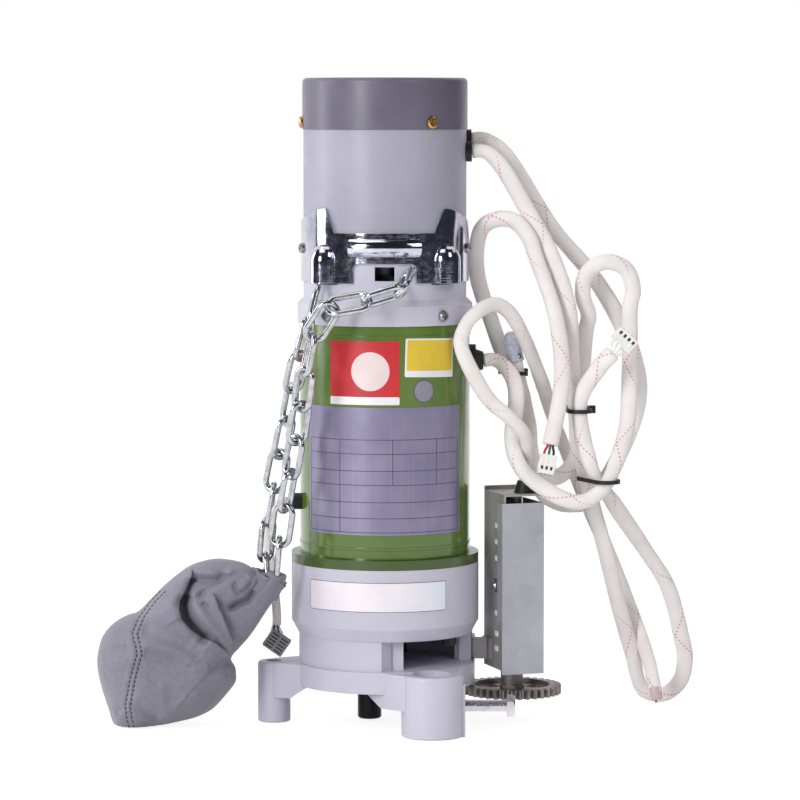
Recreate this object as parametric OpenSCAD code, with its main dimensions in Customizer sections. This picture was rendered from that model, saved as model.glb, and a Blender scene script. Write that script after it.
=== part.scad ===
// Door operator for a rolling shutter: a gear motor that stands on its output end, with a brake,
// a hand chain in its bag, a geared limit-switch unit and the sleeved leads.
// The origin is the centre of the foot bolt circle, on the plane of the feet, with +Z up.

/* [Base casting] */
// Height of the three feet
leg_h = 41; // [36:0.5:46]
// Diameter of the bolt circle of the feet
leg_pcd = 142; // [138:1:146]
// Diameter of the slim foot on the left
slim_leg_d = 22; // [20:0.5:25]
// Diameter of each of the two thick feet
thick_leg_d = 41; // [38:0.5:43]
// Diameter of the bolt hole in each foot
bolt_hole_d = 10.5; // [9:0.5:12]
// Diameter of the recess on top of a thick foot
recess_d = 26; // [22:1:30]
// Depth of that recess
recess_depth = 6; // [3:0.5:9]
// Diameter of the base disc
disc_d = 121; // [118:1:124]
// Height of the disc's skirt
skirt_h = 14.5; // [12:0.5:16]
// Thickness of the disc
disc_t = 8; // [6:0.5:10]
// Outer diameter of the neck on the disc
neck_d = 116; // [112:1:118]
// Wall of the neck
neck_wall = 8; // [6:0.5:9]
// Height of the neck, which is the height of the sprocket window
neck_h = 20; // [19:0.5:22]

/* [Motor and gearbox] */
// Distance of the motor axis from the centre of the bolt circle
motor_off = 4; // [2:0.5:6]
// Outer diameter of the gearbox cup
cup_d = 126; // [124:1:130]
// Wall of the cup
cup_wall = 5; // [4:0.5:6]
// Height of the cup
cup_h = 48; // [47:0.5:52]
// Height of the ring between cup and stator
ring_h = 6.5; // [6:0.5:8]
// Outer diameter of the stator tube
stator_d = 114; // [113:0.5:116]
// Wall of the stator tube
stator_wall = 1.5; // [1.5:0.5:2]
// Height of the stator tube
stator_h = 154; // [150:1:170]
// Overhang of the end bell's flange over the stator tube
flange_over = 1.6; // [1:0.1:3]
// Height of that flange
flange_h = 13; // [11:0.5:15]
// Outer diameter of the upper housings
upper_d = 109; // [107:0.5:111]
// Height of the end bell with its chain chamber
bell_h = 60; // [58:1:66]
// Height of the brake housing
brake_h = 69; // [66:1:80]
// Height of the tail cap
cap_h = 34; // [30:1:40]

/* [Gear train] */
// Module of the motor pinion and its wheel
mod_fast = 1; // [1]
// Module of the middle pair
mod_mid = 1.25; // [1.25]
// Module of the output pair
mod_slow = 1.5; // [1.5]
// Teeth on the output wheel
output_teeth = 40; // [38:2:42]
// Thinning of each tooth for backlash
tooth_play = 0.16; // [0.1:0.02:0.24]
// Diameter of the output shaft's end
output_d = 16; // [14:0.5:17]
// Teeth on the output sprocket
sprocket_teeth = 11; // [10:1:11]
// Pitch of the drive chain
drive_pitch = 12.7; // [12.7]

/* [Hand chain] */
// Wire of a chain link
link_wire = 4; // [3.5:0.1:4.2]
// Inner length of a link
link_inner = 24; // [22:0.5:25]
// Inner width of a link
link_gap = 9; // [8.5:0.1:9.5]
// Outer radius of a chain hood
hood_r = 10.5; // [10:0.1:11]
// Thickness of the guide sheet
guide_t = 1.5; // [1:0.1:2]
// Diameter of the hand chain wheel
chain_wheel_d = 72; // [66:1:76]

/* [Limit unit] */
// Width of the limit unit
box_w = 28; // [27:0.5:30]
// Depth of the limit unit
box_d = 41; // [40:0.5:43]
// Height of the limit unit's frame
frame_h = 119; // [115:1:124]
// Thickness of the frame sheet
frame_t = 1.5; // [1.2:0.1:1.6]
// Turn of the unit about its spindle
box_yaw = 18; // [14:1:20]
// Module of the limit gear
limit_mod = 1.75; // [1.6:0.05:1.75]
// Teeth on the limit gear
limit_teeth = 36; // [34:1:36]
// Face width of the limit gear
limit_face = 6; // [5:0.5:6.5]
// Diameter of the threaded spindle
spindle_d = 10; // [9:0.5:11]
// Diameter of a travelling nut
nut_d = 22; // [21.5:0.25:22.5]
// Height of a travelling nut
nut_h = 8; // [6:0.5:9]
// Travel of the nuts each way from the middle
nut_travel = 12; // [8:1:12]

/* [Leads] */
// Diameter of the two thick leads
thick_lead_d = 9; // [7:0.5:9]
// Diameter of the limit lead
limit_lead_d = 8; // [6:0.5:8]

/* [Hidden] */
$fn = 64;

// Overrun of every cut
cut = 1;
// Clearances: rotating fit, seated fit and the gap between separate bodies
run_gap = 0.05;
seat_gap = 0.02;
body_gap = 0.3;

// Colours
casting = [0.77, 0.757, 0.816];
upper_grey = [0.63, 0.62, 0.675];
cap_grey = [0.41, 0.39, 0.46];
stator_green = [0.35, 0.47, 0.16];
steel = [0.62, 0.62, 0.63];
dark_steel = [0.2, 0.2, 0.21];
chrome = [0.8, 0.81, 0.84];
bronze = [0.72, 0.53, 0.3];
copper = [0.72, 0.4, 0.22];
nylon = [0.93, 0.92, 0.89];
rubber = [0.06, 0.06, 0.065];
sleeve_white = [0.92, 0.89, 0.89];
bag_grey = [0.43, 0.425, 0.48];

// The flange covers the wider of the two tubes that it joins
flange_d = max(stator_d, upper_d) + 2 * flange_over;

// Levels of the stack along the motor axis
disc_rise = 0.5;
disc_top = leg_h + disc_rise;
skirt_z = disc_top - skirt_h;
cup_z = disc_top + neck_h;
cover_z = cup_z + cup_h;
stator_z = cover_z + ring_h;
bell_z = stator_z + stator_h;
brake_z = bell_z + bell_h;
cap_z = brake_z + brake_h;
top_z = cap_z + cap_h;

// Foot and bolt places
slim_leg_a = 180;
thick_leg_as = [-60, 60];
leg_edge_r = 2;
leg_toe = 0.8;
web_root_d = 90;
web_low = 17.5;
web_rise = 1.5;
web_run = 15;
rib_t = 4;
rib_count = 6;
skirt_wall = 5;
bush_boss_d = 36;
window_from = -92;
window_to = -3;
jamb_w = 6;
jamb_toe = 0.6;
guard_step = 2;
guard_w = 8;
guard_t = 5;
buffer_a = -33;
buffer_r = 51;
buffer_d = 10;
buffer_h = 6;
buffer_edge = 1.5;

// Tension bolt in the front thick foot
bolt_d = 8;
bolt_af = 13;
bolt_head_t = 5.3;
bolt_z = 20;
bolt_tip_gap = 3;
bolt_reach = 27.5;
bolt_pitch = 1.25;
bolt_pad_t = 1;
bolt_pad_w = 12;

// Bracket pad on the neck
pad_over = 1;
pad_x = motor_off + neck_d / 2 + pad_over;
pad_from = 3;
pad_to = 21;
pad_depth = 12;

// Gearbox floor, bosses and gear levels
floor_t = 7;
boss_drop = 6;
out_bearing_od = 42;
out_bearing_id = 20;
out_bearing_h = 12;
boss_lip = 1.5;
boss_lip_step = 4;
out_boss_wall = 4;
gear_lift = 1.5;
slow_face = 12;
mid_face = 10;
fast_face = 8;
level_gap = 2;
level_step = 1;
pinion_over = 1;
bush_floor = 1;
cover_key_h = 2;
out_gear_z = cup_z + floor_t + gear_lift;
b_gear_z = out_gear_z + slow_face + level_gap;
a_gear_z = b_gear_z + mid_face + level_gap + level_step;
counter_d = 10;
counter_bush_od = 14;
counter_bush_h = 5;

// Teeth and centre distances of the train
pinion_teeth = 12;
fast_teeth = 44;
mid_teeth = 36;
pressure = 25;
output_off = 10.5;
fast_dist = (pinion_teeth + fast_teeth) * mod_fast / 2;
mid_dist = (pinion_teeth + mid_teeth) * mod_mid / 2;
slow_dist = (pinion_teeth + output_teeth) * mod_slow / 2;
out_to_a = fast_dist + output_off;
b_along = (slow_dist * slow_dist - mid_dist * mid_dist + out_to_a * out_to_a) / (2 * out_to_a);
b_side = sqrt(slow_dist * slow_dist - b_along * b_along);
motor_at = [motor_off, 0];
output_at = [motor_off - output_off, 0];
a_at = [motor_off + fast_dist, 0];
b_at = [output_at[0] + b_along, b_side];
dir_ob = atan2(b_side, b_along);
dir_ba = atan2(a_at[1] - b_at[1], a_at[0] - b_at[0]);
b_pinion_phase = dir_ob + 180 + 180 / pinion_teeth;
a_pinion_phase = dir_ba + 180 + 180 / pinion_teeth;
motor_pinion_phase = 180 / pinion_teeth;

// Output shaft
out_seat_d = 17;
out_gear_d = 22;
out_tip = 2;
out_chamfer = 1;
out_step_z = skirt_z - 2;
sprocket_rise = 6.5;
sprocket_z = disc_top + sprocket_rise;
sprocket_t = 7;
sprocket_hub_d = 30;
sprocket_hub_low = 4.5;
sprocket_roller_d = 7.95;
bush_wall = 3;

// Motor: bearings, rotor and stator
cover_bearing_od = 40;
cover_bearing_id = 17;
cover_bearing_h = 12;
bell_bearing_od = 35;
bell_bearing_id = 15;
bell_bearing_h = 11;
bell_bore_d = 17;
cover_lip = 3.5;
spigot_h = 6;
spigot_t = 2.4;
core_low = 24;
core_top = 30;
core_wall = 21.98;
core_h = stator_h - core_low - core_top;
air_gap = 0.5;
rotor_d = stator_d - 2 * (stator_wall + seat_gap + core_wall + air_gap);
winding_h = 16;
winding_step = 5;
winding_clear = 3.5;
winding_in = rotor_d + 2 * winding_step;
winding_out = stator_d - 2 * (stator_wall + winding_clear);
rotor_seat_d = 20;
brake_seat_d = 14;

// End bell and chain chamber
bell_floor_t = 7;
bell_wall = 4;
cone_h = 4;
ledge_t = 4.6;
ledge_h = 6;
wheel_boss_d = 28;
wheel_boss_h = 36;
wheel_z = bell_z + 24;
wheel_t = 22;

// Chain guide
guide_gap = 0.3;
guide_low = 28;
guide_mid_h = 33;
guide_ear_h = 49;
guide_side_h = 39;
guide_ear_in = 33;
notch_half = 20.9;
notch_h = 13;
notch_r = 4;
hood_x = 39.8;
hood_h = 15;
ridge_half_a = 24.4;
ridge_z = 23.5;
ridge_r = 7;
ridge_sink = 4;
guide_from = -176;
guide_to = -4;
slot_w = 12.9;
slot_low = 1.7;
slot_h = 9.3;

// Brake
brake_wall = 2.5;
stud_in = 5.7;
stud_r = upper_d / 2 - brake_wall - body_gap - stud_in;
stud_d = 5;
stud_sleeve_d = 5.4;
stud_notch_d = 13;
stud_nut_d = 8;
stud_nut_h = 3.5;
coil_flange_t = 5;
coil_h = 22;
coil_d = 2 * stud_r - stud_sleeve_d - 2 * body_gap;
spring_in = 5;
spring_r = coil_d / 2 - spring_in;
coil_slot_out = 2 * (spring_r - spring_in);
coil_slot_w = 13;
coil_slot_in = coil_slot_out - 2 * coil_slot_w;
coil_slot_h = 14;
coil_dip = 1.5;
armature_gap = 0.7;
armature_t = 6;
armature_over = 2;
armature_d = 2 * (spring_r + armature_over);
armature_bore_d = 20;
brake_disc_t = 7;
brake_disc_step = 2;
brake_disc_d = armature_d - 2 * brake_disc_step;
backplate_t = 6;
brake_bore_d = 18;

// Tail cap
cap_edge_r = 3;
cap_over = 0.7;
cap_wall = 2.5;
cap_skirt = 8;
cap_lip_t = 2;

function rel(x) = motor_off + x;

// Helpers
module at_motor() { translate([motor_off, 0, 0]) children(); }
module at_output() { translate([output_at[0], output_at[1], 0]) children(); }
module lift(z) { translate([0, 0, z]) children(); }

// A round tube standing on Z = 0
module tube(od, id, h) {
    difference() {
        cylinder(d = od, h = h);
        lift(-cut) cylinder(d = id, h = h + 2 * cut);
    }
}

// A sector of a tube between two angles
module sector(r_in, r_out, h, from, to) {
    rotate([0, 0, from])
        rotate_extrude(angle = to - from)
            translate([r_in, 0]) square([r_out - r_in, h]);
}

// A post with a rounded top edge and a small toe at the bottom
module soft_post(d, h, edge, toe) {
    arc = [for (a = [0:15:90]) [d / 2 - edge + edge * cos(a), h - edge + edge * sin(a)]];
    rotate_extrude()
        polygon(concat([[0, 0], [d / 2 - toe, 0], [d / 2, toe]], arc, [[0, h]]));
}

// Children placed on a cylinder, with their +Z pointing outward
module radial(angle, r, z) {
    at_motor() rotate([0, 0, angle]) translate([r, 0, z]) rotate([0, 90, 0]) children();
}

// A pan-head screw: its seat is Z = 0, the head is above and the shank below
module pan_screw(head_d, head_h, shank_d, shank_l) {
    recess_w_share = 0.16;
    recess_l_share = 0.62;
    depth_share = 0.5;
    top_share = 0.72;
    difference() {
        union() {
            cylinder(d = head_d, h = head_h * depth_share);
            lift(head_h * depth_share)
                cylinder(d1 = head_d, d2 = head_d * top_share, h = head_h * depth_share);
        }
        for (a = [0, 90]) rotate([0, 0, a])
            translate([-head_d * recess_l_share / 2, -head_d * recess_w_share / 2,
                head_h * (1 - depth_share)])
                cube([head_d * recess_l_share, head_d * recess_w_share, head_h]);
    }
    lift(-shank_l) cylinder(d = shank_d, h = shank_l);
}

// A socket-head screw with its seat at Z = 0
module socket_screw(d, l) {
    head_share = 1.5;
    key_share = 0.8;
    difference() {
        cylinder(d = d * head_share, h = d);
        lift(d / 2) cylinder(d = d * key_share, h = d, $fn = 6);
    }
    lift(-l) cylinder(d = d, h = l);
}

// Involute of a pressure angle, in degrees
function inv(a) = tan(a) * 180 / PI - a;
function at_r(r, a) = [r * cos(a), r * sin(a)];

// Half the angle of a tooth at radius r
function half_tooth(r, z, m, play) =
    let (rp = z * m / 2, rb = rp * cos(pressure), q = min(rb / r, 1))
    90 / z - play / rp * 90 / PI + inv(pressure) - inv(acos(q));

// Outline of one involute gear, with a tooth centred on angle phase
module gear_2d(z, m, play, phase) {
    rp = z * m / 2;
    rb = rp * cos(pressure);
    root_share = 1.25;
    rf = rp - root_share * m;
    ra = rp + m;
    r0 = max(rb, rf);
    steps = 4;
    radii = [for (k = [0:steps]) r0 + (ra - r0) * k / steps];
    points = [for (i = [0:z - 1])
        let (c = phase + 360 * i / z, root = half_tooth(r0, z, m, play))
        for (p = concat([at_r(rf, c - root)],
            [for (k = [0:steps]) at_r(radii[k], c - half_tooth(radii[k], z, m, play))],
            [for (k = [steps:-1:0]) at_r(radii[k], c + half_tooth(radii[k], z, m, play))],
            [at_r(rf, c + root)])) p];
    polygon(points);
}

module gear(z, m, face, phase) { linear_extrude(face) gear_2d(z, m, tooth_play, phase); }

// Quadrilateral between the outer tangents of two circles
function tangent_quad(p, rp, q, rq) =
    let (d = q - p, a = atan2(d[1], d[0]), b = acos((rp - rq) / norm(d)))
    [p + at_r(rp, a + b), q + at_r(rq, a + b), q + at_r(rq, a - b), p + at_r(rp, a - b)];

// Base casting: disc with skirt and ribs, three feet, a neck with the sprocket window
module leg_web(angle, leg_d) {
    near = leg_pcd / 2 - leg_d / 2;
    side = [[0, skirt_z + web_rise], [near - web_run, skirt_z + web_rise], [near, web_low],
        [leg_pcd / 2, web_low], [leg_pcd / 2, leg_h], [0, leg_h]];
    foot = at_r(leg_pcd / 2, angle);
    intersection() {
        linear_extrude(disc_top)
            polygon(tangent_quad(motor_at, web_root_d / 2, foot, leg_d / 2 - leg_toe));
        rotate([0, 0, angle]) rotate([90, 0, 0])
            translate([0, 0, -leg_pcd]) linear_extrude(2 * leg_pcd) polygon(side);
    }
}

module base_solid() {
    at_motor() lift(disc_top - disc_t) cylinder(d = disc_d, h = disc_t);
    at_motor() lift(skirt_z) tube(disc_d, disc_d - 2 * skirt_wall, skirt_h);
    at_motor() lift(disc_top - disc_t) tube(neck_d, neck_d - 2 * neck_wall, neck_h + disc_t);
    at_output() lift(skirt_z) cylinder(d = bush_boss_d, h = skirt_h);
    for (i = [0:rib_count - 1]) at_motor() rotate([0, 0, 360 * (i + 1 / 2) / rib_count])
        translate([rib_t / 2, -rib_t / 2, skirt_z + rib_t / 2])
            cube([disc_d / 2 - rib_t / 2 - skirt_wall / 2, rib_t, skirt_h - rib_t / 2]);
    leg_web(slim_leg_a, slim_leg_d);
    rotate([0, 0, slim_leg_a]) translate([leg_pcd / 2, 0, 0])
        soft_post(slim_leg_d, leg_h, leg_edge_r, leg_toe);
    for (a = thick_leg_as) {
        leg_web(a, thick_leg_d);
        rotate([0, 0, a]) translate([leg_pcd / 2, 0, 0])
            soft_post(thick_leg_d, leg_h, leg_edge_r, leg_toe);
    }
    translate([front_leg()[0], front_leg()[1] - bolt_pad_w / 2, 0])
        cube([thick_leg_d / 2 + bolt_pad_t, bolt_pad_w, leg_h - recess_depth]);
    translate([pad_x - pad_depth, pad_from, disc_top - disc_t])
        cube([pad_depth, pad_to - pad_from, neck_h + disc_t]);
}

module base_casting() {
    color(casting) union() {
        window_jamb();
        difference() {
            base_solid();
            at_motor() lift(disc_top)
                sector(neck_d / 2 - 2 * neck_wall, neck_d / 2 + neck_wall, neck_h + cut,
                    window_from, window_to);
            at_output() lift(-cut) cylinder(d = out_seat_d + 2 * bush_wall, h = top_z);
            for (a = concat([slim_leg_a], thick_leg_as)) rotate([0, 0, a])
                translate([leg_pcd / 2, 0, -cut]) cylinder(d = bolt_hole_d, h = leg_h + 2 * cut);
            for (a = thick_leg_as) rotate([0, 0, a])
                translate([leg_pcd / 2, 0, leg_h - recess_depth])
                    cylinder(d = recess_d, h = recess_depth + neck_h / 2);
            tension_hole();
            for (a = housing_screw_as) radial_post(a, housing_screw_r, cup_z - housing_screw_l)
                cylinder(d = housing_screw_d, h = housing_screw_l + cut);
            for (y = bracket_ys) translate([pad_x - bracket_screw_l, y, bracket_screw_z])
                rotate([0, 90, 0]) cylinder(d = bracket_screw_d, h = bracket_screw_l + cut);
        }
    }
}

// Slanted jamb on the window's left side, with a short guard wall behind it
module window_jamb() {
    r = neck_d / 2;
    r_in = r - neck_wall;
    at_motor() rotate([0, 0, window_from]) lift(disc_top - disc_t / 2)
        linear_extrude(neck_h + disc_t / 2)
            polygon([[r - jamb_toe, -jamb_w], [r - jamb_toe, 0], [r_in, jamb_w],
                [r_in - guard_step, jamb_w], [r_in - guard_step, jamb_w + guard_w],
                [r_in - guard_step - guard_t, jamb_w + guard_w],
                [r_in - guard_step - guard_t, -jamb_w]]);
}

// Rubber buffer under the cup, in the window
module window_buffer() {
    color(rubber) radial_post(buffer_a, buffer_r, cup_z) mirror([0, 0, 1])
        soft_post(buffer_d, buffer_h, buffer_edge, buffer_edge / 2);
}

// Children standing at an angle and radius about the motor axis
module radial_post(angle, r, z) {
    at_motor() rotate([0, 0, angle]) translate([r, 0, z]) children();
}

housing_screw_as = [25, 90, 155, 220];
housing_screw_r = 53;
housing_screw_d = 5;
housing_screw_l = 16;
cover_screw_as = [120, 165, 240, 300];
cover_screw_r = 49.3;
cover_screw_d = 4;
cover_screw_head = 6.8;
screw_head_h = 2.4;
screw_tip_gap = 1;
cover_screw_l = 14;
cover_boss_d = 10;
bracket_inset = 5;
bracket_ys = [pad_from + bracket_inset, pad_to - bracket_inset];
bracket_screw_z = 49;
bracket_screw_d = 4;
bracket_screw_head = 7.2;
bracket_screw_l = 8;

function front_leg() = at_r(leg_pcd / 2, thick_leg_as[0]);
bolt_seat_x = front_leg()[0] + thick_leg_d / 2 + bolt_pad_t;
bolt_tip_x = front_leg()[0] + bolt_hole_d / 2 + bolt_tip_gap;

module tension_hole() {
    translate([bolt_tip_x, front_leg()[1], bolt_z]) rotate([0, 90, 0])
        cylinder(d = bolt_d + 2 * seat_gap, h = thick_leg_d);
}

// Hex bolt that presses on the mounting plate: a screwed shank with root grooves
module tension_bolt() {
    length = bolt_seat_x + bolt_reach - bolt_tip_x;
    grooves = floor(bolt_reach / bolt_pitch) - 2;
    edge_share = 0.95;
    color(chrome) translate([bolt_tip_x, front_leg()[1], bolt_z]) rotate([0, 90, 0]) {
        difference() {
            cylinder(d = bolt_d, h = length);
            for (i = [0:grooves]) lift(length - bolt_reach + bolt_pitch * (i + 1))
                tube(bolt_d + bolt_pitch, bolt_d - bolt_pitch, bolt_pitch / 2);
        }
        lift(length) intersection() {
            cylinder(d = bolt_af / cos(30), h = bolt_head_t, $fn = 6);
            cylinder(d1 = bolt_af + 2 * bolt_head_t, d2 = bolt_af * edge_share, h = bolt_head_t);
        }
    }
}

// Gearbox cup with its floor, bearing boss and screw bosses
module gearbox_housing() {
    taper_h = 8.5;
    toe = 2;
    profile = [[0, 0], [disc_d / 2 - toe, 0], [cup_d / 2, taper_h], [cup_d / 2, cup_h],
        [cup_d / 2 - cup_wall, cup_h], [cup_d / 2 - cup_wall, floor_t], [0, floor_t]];
    color(casting) difference() {
        union() {
            at_motor() lift(cup_z) rotate_extrude() polygon(profile);
            at_output() lift(cup_z - boss_drop)
                cylinder(d = out_bearing_od + 2 * out_boss_wall, h = boss_drop + floor_t);
            for (a = cover_screw_as) radial_post(a, cover_screw_r, cup_z)
                cylinder(d = cover_boss_d, h = cup_h);
        }
        at_output() lift(cup_z - boss_drop + boss_lip)
            cylinder(d = out_bearing_od + 2 * seat_gap, h = boss_drop + floor_t);
        at_output() lift(cup_z - boss_drop - cut)
            cylinder(d = out_bearing_od - 2 * boss_lip_step, h = cup_h);
        for (p = [a_at, b_at]) translate([p[0], p[1], cup_z + bush_floor])
            cylinder(d = counter_bush_od + 2 * seat_gap, h = floor_t);
        for (a = housing_screw_as) radial_post(a, housing_screw_r, cup_z - cut)
            cylinder(d = housing_screw_d + 2 * body_gap, h = floor_t + 2 * cut);
        for (a = cover_screw_as) radial_post(a, cover_screw_r, cover_z - cover_screw_l)
            cylinder(d = cover_screw_d, h = cover_screw_l + cut);
    }
}

// Green ring and cover plate between gearbox and stator, with the motor bearing's boss
module gearbox_cover() {
    boss_wall = 5;
    in_d = cup_d - 2 * cup_wall - 2 * body_gap;
    bearing_lip = 1;
    bore_d = 24;
    bearing_z = cover_z + cover_lip;
    tube_in = stator_d - 2 * stator_wall - 2 * seat_gap;
    tube_edge = 2;
    color(stator_green) difference() {
        union() {
            at_motor() lift(cover_z)
                cylinder(d = max(cup_d, stator_d + 2 * tube_edge), h = ring_h);
            at_motor() lift(cover_z - cover_key_h) difference() {
                cylinder(d = in_d, h = cover_key_h);
                for (a = cover_screw_as) rotate([0, 0, a]) translate([cover_screw_r, 0, -cut])
                    cylinder(d = cover_boss_d + 2 * body_gap, h = cover_key_h + cut);
            }
            at_motor() lift(stator_z) tube(tube_in, tube_in - 2 * spigot_t, spigot_h);
            at_motor() lift(stator_z)
                cylinder(d = cover_bearing_od + 2 * boss_wall,
                    h = bearing_z + cover_bearing_h + bearing_lip - stator_z);
        }
        at_motor() lift(bearing_z)
            cylinder(d = cover_bearing_od + 2 * seat_gap, h = cover_bearing_h + bearing_lip + cut);
        at_motor() lift(cover_z - cover_key_h - cut) cylinder(d = bore_d, h = stator_h);
        for (p = [a_at, b_at]) translate([p[0], p[1], cover_z - cover_key_h - cut])
            cylinder(d = counter_bush_od + 2 * seat_gap, h = counter_bush_h + cut);
        for (a = cover_screw_as) radial_post(a, cover_screw_r, cover_z - cut)
            cylinder(d = cover_screw_d + 2 * body_gap, h = ring_h + 2 * cut);
    }
}

// Green stator tube with a bead near each end and the hole of the lead's grommet
grommet_hole_d = 11;
module stator_housing() {
    bead = 0.6;
    bead_h = 1.6;
    bead_in = 7;
    color(stator_green) difference() {
        at_motor() lift(stator_z) union() {
            tube(stator_d, stator_d - 2 * stator_wall, stator_h);
            for (z = [bead_in, stator_h - bead_in]) lift(z - bead_h / 2)
                tube(stator_d + 2 * bead, stator_d - stator_wall, bead_h);
        }
        translate([motor_off, stator_exit[1], stator_exit[2]]) rotate([0, 90, 0])
            cylinder(d = grommet_hole_d, h = stator_d);
        translate([motor_off, sensor_exit[1], sensor_exit[2]]) rotate([0, -90, 0])
            cylinder(d = sensor_hole_d, h = stator_d);
    }
}

// End bell: flange, bearing seat, boss of the chain wheel and the chain chamber
module end_bell() {
    r_out = upper_d / 2;
    outer = [[0, 0], [flange_d / 2, 0], [flange_d / 2, flange_h], [r_out, flange_h + cone_h],
        [r_out, bell_h], [r_out - bell_wall, bell_h], [r_out - bell_wall, bell_floor_t],
        [0, bell_floor_t]];
    tube_in = stator_d - 2 * stator_wall - 2 * seat_gap;
    color(casting) difference() {
        union() {
            at_motor() lift(bell_z) rotate_extrude() polygon(outer);
            at_motor() lift(bell_z - spigot_h) tube(tube_in, tube_in - 2 * spigot_t, spigot_h);
            at_motor() lift(bell_z) cylinder(d = bell_bearing_od + 2 * bell_wall,
                h = bell_bearing_h + bell_wall);
            at_motor() lift(bell_z) cylinder(d = wheel_boss_d, h = wheel_boss_h + bell_wall);
            at_motor() lift(brake_z - ledge_h)
                tube(upper_d - bell_wall, upper_d - 2 * bell_wall - 2 * ledge_t, ledge_h);
            for (a = flange_screw_as) radial(a, flange_d / 2, bell_z + flange_h / 2)
                lift(-flange_pad) cylinder(d = flange_pad, h = flange_pad + flange_pad_t);
        }
        at_motor() lift(bell_z - cut)
            cylinder(d = bell_bearing_od + 2 * seat_gap, h = bell_bearing_h + cut);
        at_motor() cylinder(d = bell_bore_d, h = top_z);
        for (s = [-1, 1]) translate([rel(s * hood_x) - hood_r + guide_t, -upper_d,
            bell_z + guide_low - cut])
            cube([2 * (hood_r - guide_t), upper_d, hood_h + hood_r]);
        translate([rel(-slot_w / 2), -upper_d / 2 - cut, bell_z + guide_low + slot_low])
            cube([slot_w, 2 * bell_wall + cut, slot_h]);
        for (a = flange_screw_as) radial(a, flange_d / 2 - flange_screw_l, bell_z + flange_h / 2)
            cylinder(d = flange_screw_d, h = flange_screw_l + cut);
        for (a = guide_screw_as) radial(a, 0, bell_z + guide_screw_z)
            cylinder(d = guide_screw_d, h = upper_d);
    }
}

flange_screw_as = [-130, -50, 50, 130];
flange_screw_d = 4;
flange_screw_l = 9;
flange_screw_head = 7.5;
flange_screw_head_h = 2.8;
flange_pad = 10;
flange_pad_t = 0.8;
guide_screw_as = [-14, -166];
guide_screw_z = 50;
guide_screw_d = 3.5;
guide_screw_l = 6;
guide_screw_head = 7;
guide_screw_head_h = 2.4;

// Brake housing with the two outlets of the leads
outlet_drops = [7, 15];
outlet_zs = [cap_z - outlet_drops[0], cap_z - outlet_drops[1]];
outlet_ys = [12, -4];
outlet_d = 13.4;
outlet_out = 3.5;
outlet_x = motor_off + upper_d / 2 + outlet_out;
module outlet_axis(i) {
    translate([motor_off + upper_d / 4, outlet_ys[i], outlet_zs[i]]) rotate([0, 90, 0]) children();
}

module brake_housing() {
    color(upper_grey) difference() {
        at_motor() lift(brake_z) tube(upper_d, upper_d - 2 * brake_wall, brake_h);
        for (i = [0, 1]) outlet_axis(i) cylinder(d = outlet_d - 2 * brake_wall, h = upper_d);
    }
}

// Dark tail cap with its rounded edge and inner lip
module tail_cap() {
    d = upper_d + 2 * cap_over;
    arc = [for (a = [0:15:90])
        [d / 2 - cap_edge_r + cap_edge_r * cos(a), cap_h - cap_edge_r + cap_edge_r * sin(a)]];
    inner_d = upper_d - 2 * brake_wall - 2 * seat_gap;
    color(cap_grey) difference() {
        union() {
            at_motor() lift(cap_z)
                rotate_extrude() polygon(concat([[0, 0], [d / 2, 0]], arc, [[0, cap_h]]));
            at_motor() lift(cap_z - cap_skirt) cylinder(d = inner_d, h = cap_skirt + cut);
        }
        at_motor() lift(cap_z - cap_skirt - cut)
            cylinder(d = inner_d - 2 * cap_lip_t, h = cap_h - cap_wall + cap_skirt + cut);
        for (a = cap_screw_as) radial(a, 0, cap_z + cap_screw_z)
            cylinder(d = cap_screw_d, h = upper_d);
    }
}

cap_screw_as = [-56, 64, 184];
cap_screw_z = 4.6;
cap_screw_d = 4;
cap_screw_l = 5;
cap_screw_head = 8;

module cap_screws() {
    color([0.78, 0.6, 0.25])
        for (a = cap_screw_as) radial(a, upper_d / 2 + cap_over + body_gap, cap_z + cap_screw_z)
            pan_screw(cap_screw_head, cap_screw_d / 2, cap_screw_d - 2 * body_gap, cap_screw_l);
}

module flange_screws() {
    color(chrome)
        for (a = flange_screw_as)
            radial(a, flange_d / 2 + flange_pad_t + seat_gap, bell_z + flange_h / 2)
                pan_screw(flange_screw_head, flange_screw_head_h, flange_screw_d - 2 * seat_gap,
                    flange_screw_l - screw_tip_gap);
}

module guide_screws() {
    r = upper_d / 2 + guide_gap + guide_t;
    color(chrome)
        for (a = guide_screw_as) radial(a, r, bell_z + guide_screw_z)
            pan_screw(guide_screw_head, guide_screw_head_h, guide_screw_d - 2 * seat_gap,
                guide_screw_l);
}

module housing_screws() {
    color(steel) {
        for (a = housing_screw_as) radial_post(a, housing_screw_r, cup_z + floor_t)
            socket_screw(housing_screw_d - 2 * seat_gap, housing_screw_l + floor_t - screw_tip_gap);
        for (a = cover_screw_as) radial_post(a, cover_screw_r, stator_z)
            pan_screw(cover_screw_head, screw_head_h, cover_screw_d - 2 * seat_gap,
                ring_h + cover_screw_l - screw_tip_gap);
        for (y = bracket_ys) translate([pad_x + bracket_t, y, bracket_screw_z])
            rotate([0, 90, 0]) pan_screw(bracket_screw_head, screw_head_h,
                bracket_screw_d - 2 * seat_gap, bracket_screw_l + bracket_t - screw_tip_gap);
    }
}

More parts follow.
